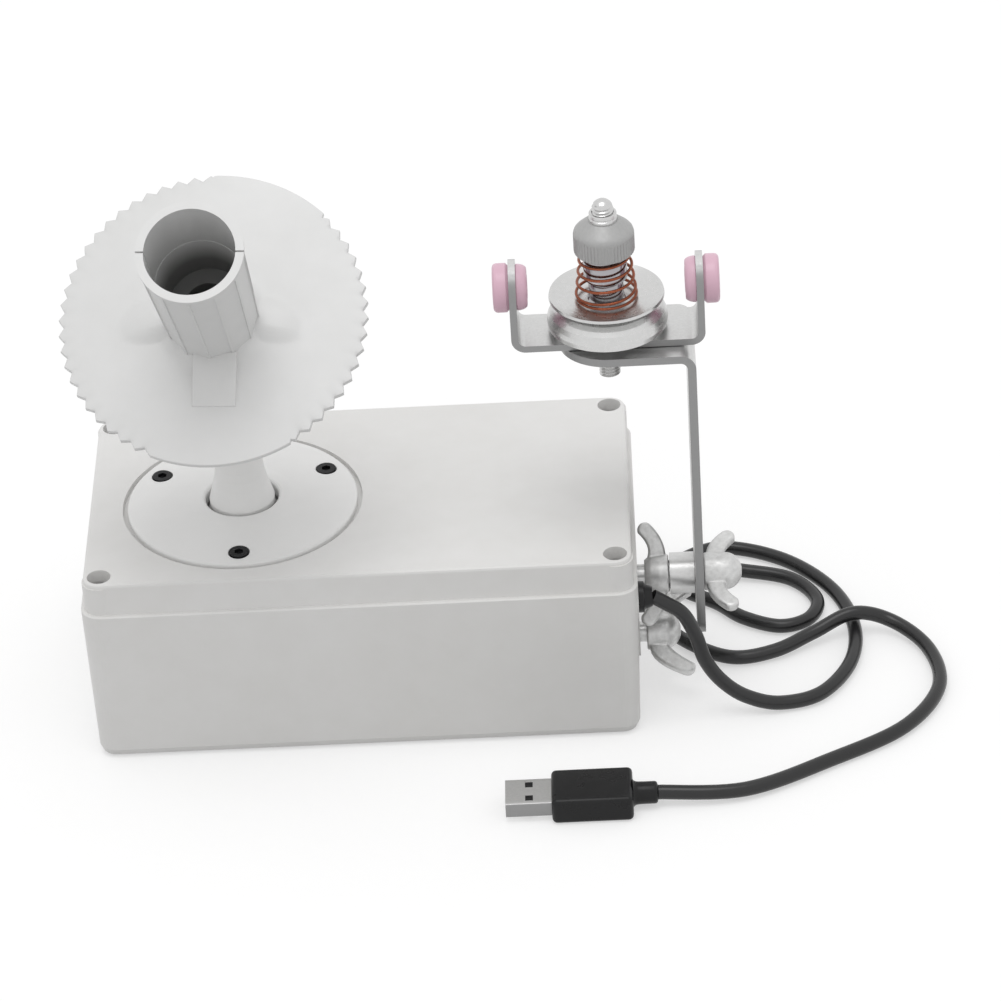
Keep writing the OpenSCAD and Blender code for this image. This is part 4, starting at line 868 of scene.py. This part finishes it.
class WINDER_OT_spool(Operator):
    """Mould the spool's notched plate with its soft mounds and its tongue"""
    bl_idname = "winder.spool"
    bl_label = "Spool plate"

    TEETH, TIP_R, ROOT_R = 58, 43.2, 41.65
    FACE, BACK = 37.0, 32.0

    # Radius of the tube's foot, and how far the face falls away from it and the fillet rises to it
    FOOT_R, FALL, FILLET, FILLET_R = 12.4, 1.3, 1.3, 4.2

    # Arcs of the rim that have no notches, in degrees from the plate's right
    PLAIN_ARCS = ((46, 92), (248, 302))

    # Mounds at the foot of the tube: direction, distance, half length, half width above and below, rise
    MOUNDS = ((-10, 15, 10.5, 9.0, 4.8, 1.5), (90, 15, 10.5, 7.0, 7.0, 1.5), (190, 15, 10.5, 9.0, 4.8, 1.7))

    def execute(self, context):
        for name, make in (("spool_plate", self.plate), ("spool_tongue", self.tongue)):
            bm = make()
            bmesh.ops.transform(bm, matrix=SPOOL_PLACE, verts=bm.verts)
            claim(new_piece(bm, name, 40), "spool", "white_spool", "spool_white", "spool_disc")
        return {"FINISHED"}

    def plate(self):
        """The turned plate with its hub, its rim notched and its face raised into mounds"""
        tip, face, back = self.TIP_R, self.FACE, self.BACK
        rings = (
            41, 38, 35, 32, 29.5, 27, 25.5, 24, 22.5, 21, 19.5, 18.2, 17, 16, 15, 14.2, 13.4, self.FOOT_R)
        fall = [(r, face - self.FALL * (max(r - 15, 0) / 28) ** 1.6) for r in rings]
        outline = [
            (3.1, 28.8), (8.6, 28.8), (9.0, 29.2), (9.0, 31.6), (9.4, back), (36.5, back), (39.5, back + 0.5),
            (41.0, back + 1.5), (tip - 0.3, back + 1.7), (tip, back + 2.0), (tip, face - 1.5),
            (tip - 0.15, face - 1.33), *fall, (self.FOOT_R, face - 0.1), (3.1, face - 0.1), (3.1, 28.8)]
        bm = bmesh.new()
        turn_outline(bm, outline, steps=8 * self.TEETH)
        for vert in bm.verts:
            around = vert.co.xy.length / MM
            bearing = math.degrees(math.atan2(vert.co.y, vert.co.x)) % 360
            if around > 42:
                vert.co.xy *= 1 - self.notch(bearing) / around
            elif around > self.FOOT_R - 0.1 and vert.co.z > (face - 1.5) * MM:
                vert.co.z += self.rise(vert.co.xy / MM) * MM
        return bm

    def notch(self, bearing):
        """How far the rim is cut in at a bearing"""
        if any(low < bearing < high for low, high in self.PLAIN_ARCS):
            return 0.0
        phase = bearing / 360 * self.TEETH
        return (self.TIP_R - self.ROOT_R) * 2 * abs(phase - round(phase))

    def rise(self, spot):
        """Height of the mounds and of the fillet round the tube's foot"""
        fillet = max(0.0, 1 - (spot.length - self.FOOT_R) / self.FILLET_R)
        height = self.FILLET * fillet ** 2
        for turn, out, long, above, below, top in self.MOUNDS:
            way = Vector((math.cos(math.radians(turn)), math.sin(math.radians(turn))))
            along = (spot.dot(way) - out) / long
            across = way.cross(spot) * (1 if way.x >= 0 else -1)
            across /= above if across > 0 else below
            dome = max(0.0, 1 - along ** 2 - across ** 2)
            height = max(height, top * dome ** 1.2)
        return height

    def tongue(self):
        """The flat tongue that runs from the tube's foot down the plate"""
        bm = bmesh.new()
        block(bm, (-4.65, -26.4, 35.6), (7.45, -11.4, 39.6))
        outer = [v for v in bm.verts if v.co.y < -20 * MM and v.co.z > 37 * MM]
        bmesh.ops.translate(bm, verts=outer, vec=(0, 0, -2.6 * MM))
        rim = [e for e in bm.edges if all(v.co.z > 36.5 * MM for v in e.verts)]
        round_edges(bm, rim, 0.25)
        return bm


class WINDER_OT_sleeves(Operator):
    """Turn the bright sleeves inside the spring and on top of the tension nut"""
    bl_idname = "winder.sleeves"
    bl_label = "Sleeves"

    DISH_TOP, GUIDE_LOW = 130.2, 136.7

    def execute(self, context):
        low, high = self.GUIDE_LOW, NUT_LOW - 0.1
        self.turned("spring_sleeve", "turned_steel", "guide", (
            (5.1, low), (5.9, low), (6.1, low + 0.2), (6.1, high - 0.3), (5.9, high), (3.1, high),
            (3.1, high - 1.0), (5.1, high - 1.2)), "spring_guide")
        foot = self.DISH_TOP
        self.turned("dish_hub", "turned_steel", "high_dish", (
            (3.3, foot), (5.4, foot), (4.9, foot + 0.4), (4.85, foot + 0.9), (4.85, foot + 5.6),
            (4.65, foot + 5.9), (3.3, foot + 5.9)))
        top = NUT_LOW + 10.0
        self.turned("nut_collar", "post_steel", "nut", (
            (3.1, top), (3.95, top), (3.95, top + 0.9), (3.7, top + 1.1), (3.7, top + 1.4), (3.85, top + 1.6),
            (3.85, top + 2.3), (3.6, top + 2.6), (3.1, top + 2.6)))
        return {"FINISHED"}

    @staticmethod
    def turned(name, finish, body, outline, *nodes):
        """A hollow turned piece on the post's axis, from its closed (radius, height) outline"""
        bm = bmesh.new()
        turn_outline(bm, outline + outline[:1], steps=56)
        move_all(bm, POST_X, POST_Y, 0)
        claim(new_piece(bm, name), body, "bright_steel", finish, *nodes)


class WINDER_OT_eyelet_rings(Operator):
    """Press the conical ceramic rings on the inner side of the bracket's ears"""
    bl_idname = "winder.eyelet_rings"
    bl_label = "Eyelet rings"

    # Inner faces of the ears along X with the way to the middle, and the height of the eyelets
    EARS, EYE_Z = ((49.0, 1), (99.0, -1)), 134.5

    def execute(self, context):
        bm = bmesh.new()
        for ear, way in self.EARS:
            outline = [(4.95, 0.0), (6.25, 0.0), (6.5, 0.25), *bend((6.5, 0.5), (6.35, 2.2), (5.6, 2.85), 5),
                       (5.4, 3.0), (4.95, 3.0), (4.95, 0.0)]
            made = bmesh.new()
            turn_outline(made, outline, steps=56)
            lay_along_x(made, way)
            move_all(made, ear, POST_Y, self.EYE_Z)
            join(bm, made)
        claim(new_piece(bm, "ceramic_rings"), "bracket", "pink_ceramic", "rose_ceramic", "eyelet_rings")
        return {"FINISHED"}


class WINDER_OT_wing_nuts(Operator):
    """Cast the three wing nuts, each a domed hub with two swept wings"""
    bl_idname = "winder.wing_nuts"
    bl_label = "Wing nuts"

    REACH = 15.0
    BORE = 3.5

    # Piece, body, replaced node, flat face of the hub, way it looks along X, turn, wing height, bolt depth
    NUTS = (
        ("wall_wing_nut", "inner_nut", "wing_nut_inner", (88.1, -15, 36), -1, 56, 8.6, None),
        ("low_wing_nut", "lower_nut", "wing_nut_lower", (81.0, -15, 16), 1, 25, 13.6, 8.0),
        ("arm_wing_nut", "outer_nut", "wing_nut_outer", (98.2, -15, 36), 1, 13, 9.5, 9.0),
    )

    def execute(self, context):
        for name, body, node, face, way, turn, height, bolt in self.NUTS:
            bm = bmesh.new()
            turn_outline(bm, self.hub(bolt), steps=48)
            for side in (1, -1):
                wing = [(side * x, z) for x, z in self.wing(height)]
                plate(bm, wing[::side], 3.0, 0.8)
            place = (
                Matrix.Translation(Vector(face) * MM) @ Matrix.Rotation(math.radians(turn), 4, "X")
                @ Matrix.Rotation(math.radians(90 * way), 4, "Y") @ Matrix.Rotation(math.pi / 2, 4, "Z"))
            bmesh.ops.transform(bm, matrix=place, verts=bm.verts)
            piece = new_piece(bm, name)
            fuse(piece, 0.24, 5)
            claim(piece, body, "cast_metal", "cast_grey", node)
        return {"FINISHED"}

    def hub(self, bolt):
        """Outline of a hub, open for a bolt that goes through or domed over the bolt's end"""
        if bolt is None:
            return [(self.BORE, 0), (5.3, 0), (5.5, 0.3), (5.4, 2.8), (5.0, 5.2), (4.5, 6.6),
                    (4.1, 7.0), (self.BORE, 7.0), (self.BORE, 0)]
        roof, top = bolt + 0.4, bolt + 2.0
        dome = [(5.4 * math.cos(a), roof - 3.2 + (top - roof + 3.2) * math.sin(a))
                for a in (math.radians(10 * i) for i in range(9))]
        return [(0, roof), (self.BORE, roof), (self.BORE, 0), (5.3, 0), (5.5, 0.3), *dome,
                (0.7, top - 0.1), (0.45, top - 0.6), (0, top - 0.7)]

    def wing(self, height):
        """Outline of a wing that leaves the hub low and sweeps up to a round tip"""
        tip_x, tip_z, tip_r = self.REACH - 2.3, height - 2.3, 2.3
        tip = [(tip_x + tip_r * math.cos(a), tip_z + tip_r * math.sin(a))
               for a in (math.radians(-35 + 24 * i) for i in range(7))]
        return [(4.2, 0.7), *bend((5.4, 0.7), (10.4, 0.9), tip[0])[:-1], *tip,
                *bend(tip[-1], (8.2, height * 0.55), (5.0, 6.0))[1:], (4.2, 6.0)]


class WINDER_OT_tension_nut(Operator):
    """Turn the tension nut with its ridged band and cone"""
    bl_idname = "winder.tension_nut"
    bl_label = "Tension nut"

    def execute(self, context):
        ridges = context.scene.winder_sizes.nut_ridges
        bore = 3.05
        stations = (
            (bore, 0.0, 0.0), (7.8, 0.0, 0.0), (8.35, 0.4, 0.1), (8.5, 0.8, 0.27), (8.5, 5.5, 0.27),
            (8.45, 6.1, 0.08), (8.2, 6.8, 0.0), (7.7, 7.4, 0.0), (6.9, 8.1, 0.0), (6.0, 8.8, 0.0),
            (5.1, 9.6, 0.0), (4.4, 10.1, 0.0), (bore, 10.1, 0.0))
        bm = bmesh.new()
        loops = [ring(bm, r, z, 2 * ridges, dip) for r, z, dip in stations]
        loft(bm, loops)
        move_all(bm, POST_X, POST_Y, NUT_LOW)
        claim(new_piece(bm, "ridged_nut", 32), "nut", "cast_metal", "matt_nickel", "tension_nut")
        return {"FINISHED"}


class WINDER_OT_post(Operator):
    """Cut the thread on the tension post and set its shoulder"""
    bl_idname = "winder.post"
    bl_label = "Threaded post"

    RADIUS, LOW, HIGH = 3.0, 105.2, 161.2
    SHOULDER = ((2.2, 120.4), (4.7, 120.4), (5.0, 120.7), (5.0, 127.7), (4.7, 128.0), (2.2, 128.0))

    def execute(self, context):
        pitch = context.scene.winder_sizes.thread_pitch / MM
        bm = bmesh.new()
        thread_rod(bm, self.RADIUS, self.LOW, self.HIGH, pitch)
        collar = bmesh.new()
        turn_outline(collar, self.SHOULDER)
        join(bm, collar)
        move_all(bm, POST_X, POST_Y, 0)
        claim(new_piece(bm, "threaded_post", 25), "mast", "bright_steel", "post_steel", "post")
        return {"FINISHED"}


class WINDER_OT_stage(Operator):
    """Set the floor, the even light and the softbox overhead"""
    bl_idname = "winder.stage"
    bl_label = "Studio"

    # In metres: half the floor's side, where the lamp hangs and where it points
    FLOOR, LAMP, LAMP_AIM = 6.0, (-0.05, -0.2, 1.7), (0, 0, 0.08)
    FLOOR_TONE = (0.55, 0.55, 0.55, 1)

    def execute(self, context):
        studio = context.scene.winder_studio
        self.floor(studio)
        self.sky(context, studio)
        self.softbox(studio)
        context.scene.view_settings.view_transform = "Standard"
        return {"FINISHED"}

    @staticmethod
    def seen_rays(tree):
        """A mask of the rays that show the background: to the camera, in gloss and through glass"""
        path = tree.nodes.new("ShaderNodeLightPath").outputs
        gloss = maths(tree, "MAXIMUM", path["Is Glossy Ray"], path["Is Transmission Ray"])
        return maths(tree, "MAXIMUM", path["Is Camera Ray"], gloss)

    def floor(self, studio):
        """A wide pale floor that keeps the shadow"""
        bm = bmesh.new()
        bmesh.ops.create_grid(bm, x_segments=8, y_segments=8, size=self.FLOOR)
        piece = new_piece(bm, "studio_floor")
        paper = bpy.data.materials.new("floor_paper")
        paper.use_nodes = True
        tree = paper.node_tree
        matt = tree.nodes["Principled BSDF"]
        feed(matt.inputs["Base Color"], self.FLOOR_TONE)
        feed(matt.inputs["Roughness"], 1.0)
        feed(matt.inputs["Specular IOR Level"], 0.0)
        feed(matt.inputs["Emission Color"], (1, 1, 1, 1))
        lift = maths(tree, "MULTIPLY", self.seen_rays(tree), studio.floor_lift)
        feed(matt.inputs["Emission Strength"], lift)
        piece.data.materials.append(paper)

    def sky(self, context, studio):
        """Even light from all sides, white where it is seen"""
        world = bpy.data.worlds.new("studio_sky")
        world.use_nodes = True
        tree = world.node_tree
        back = tree.nodes["Background"]
        feed(back.inputs["Color"], (1, 1, 1, 1))
        strength = spread(tree, self.seen_rays(tree), 0.0, 1.0, studio.sky, 1.0)
        feed(back.inputs["Strength"], strength)
        context.scene.world = world

    def softbox(self, studio):
        """A large lamp above, a little in front and to the left"""
        lamp = bpy.data.lights.new("softbox", "AREA")
        lamp.energy = studio.softbox
        lamp.size = studio.softbox_size
        spot = Vector(self.LAMP)
        facing = (Vector(self.LAMP_AIM) - spot).to_track_quat("-Z", "Y").to_matrix().to_4x4()
        add("softbox", lamp).matrix_world = Matrix.Translation(spot) @ facing


class WINDER_PT_panel(Panel):
    """The winder's pieces, sizes and colours"""
    bl_idname = "WINDER_PT_panel"
    bl_label = "Yarn Ball Winder"
    bl_space_type = "VIEW_3D"
    bl_region_type = "UI"
    bl_category = "Winder"

    def draw(self, context):
        layout = self.layout
        for step in STEPS:
            layout.operator("winder." + step)
        for name, kind in SETTINGS.items():
            box = layout.box()
            for label in kind.__annotations__:
                box.prop(getattr(context.scene, name), label)


# The order in which the pieces are made
STEPS = (
    "camera", "finishes", "plug", "cord", "spool", "spring", "sleeves", "eyelet_rings", "wing_nuts",
    "tension_nut", "post", "stage")

CLASSES = (
    WinderFinish, WinderSizes, WinderStudio, WINDER_OT_camera, WINDER_OT_finishes, WINDER_OT_plug,
    WINDER_OT_cord, WINDER_OT_spool, WINDER_OT_spring, WINDER_OT_sleeves, WINDER_OT_eyelet_rings,
    WINDER_OT_wing_nuts, WINDER_OT_tension_nut, WINDER_OT_post, WINDER_OT_stage, WINDER_PT_panel)

# Where the settings are kept in the scene
SETTINGS = {"winder_sizes": WinderSizes, "winder_finish": WinderFinish, "winder_studio": WinderStudio}


def register():
    for kind in CLASSES:
        bpy.utils.register_class(kind)
    for name, kind in SETTINGS.items():
        setattr(bpy.types.Scene, name, PointerProperty(type=kind))


def unregister():
    for name in SETTINGS:
        delattr(bpy.types.Scene, name)
    for kind in reversed(CLASSES):
        bpy.utils.unregister_class(kind)


def main():
    """Make the whole winder"""
    register()
    for step in STEPS:
        getattr(bpy.ops.winder, step)()


if __name__ == "__main__":
    main()
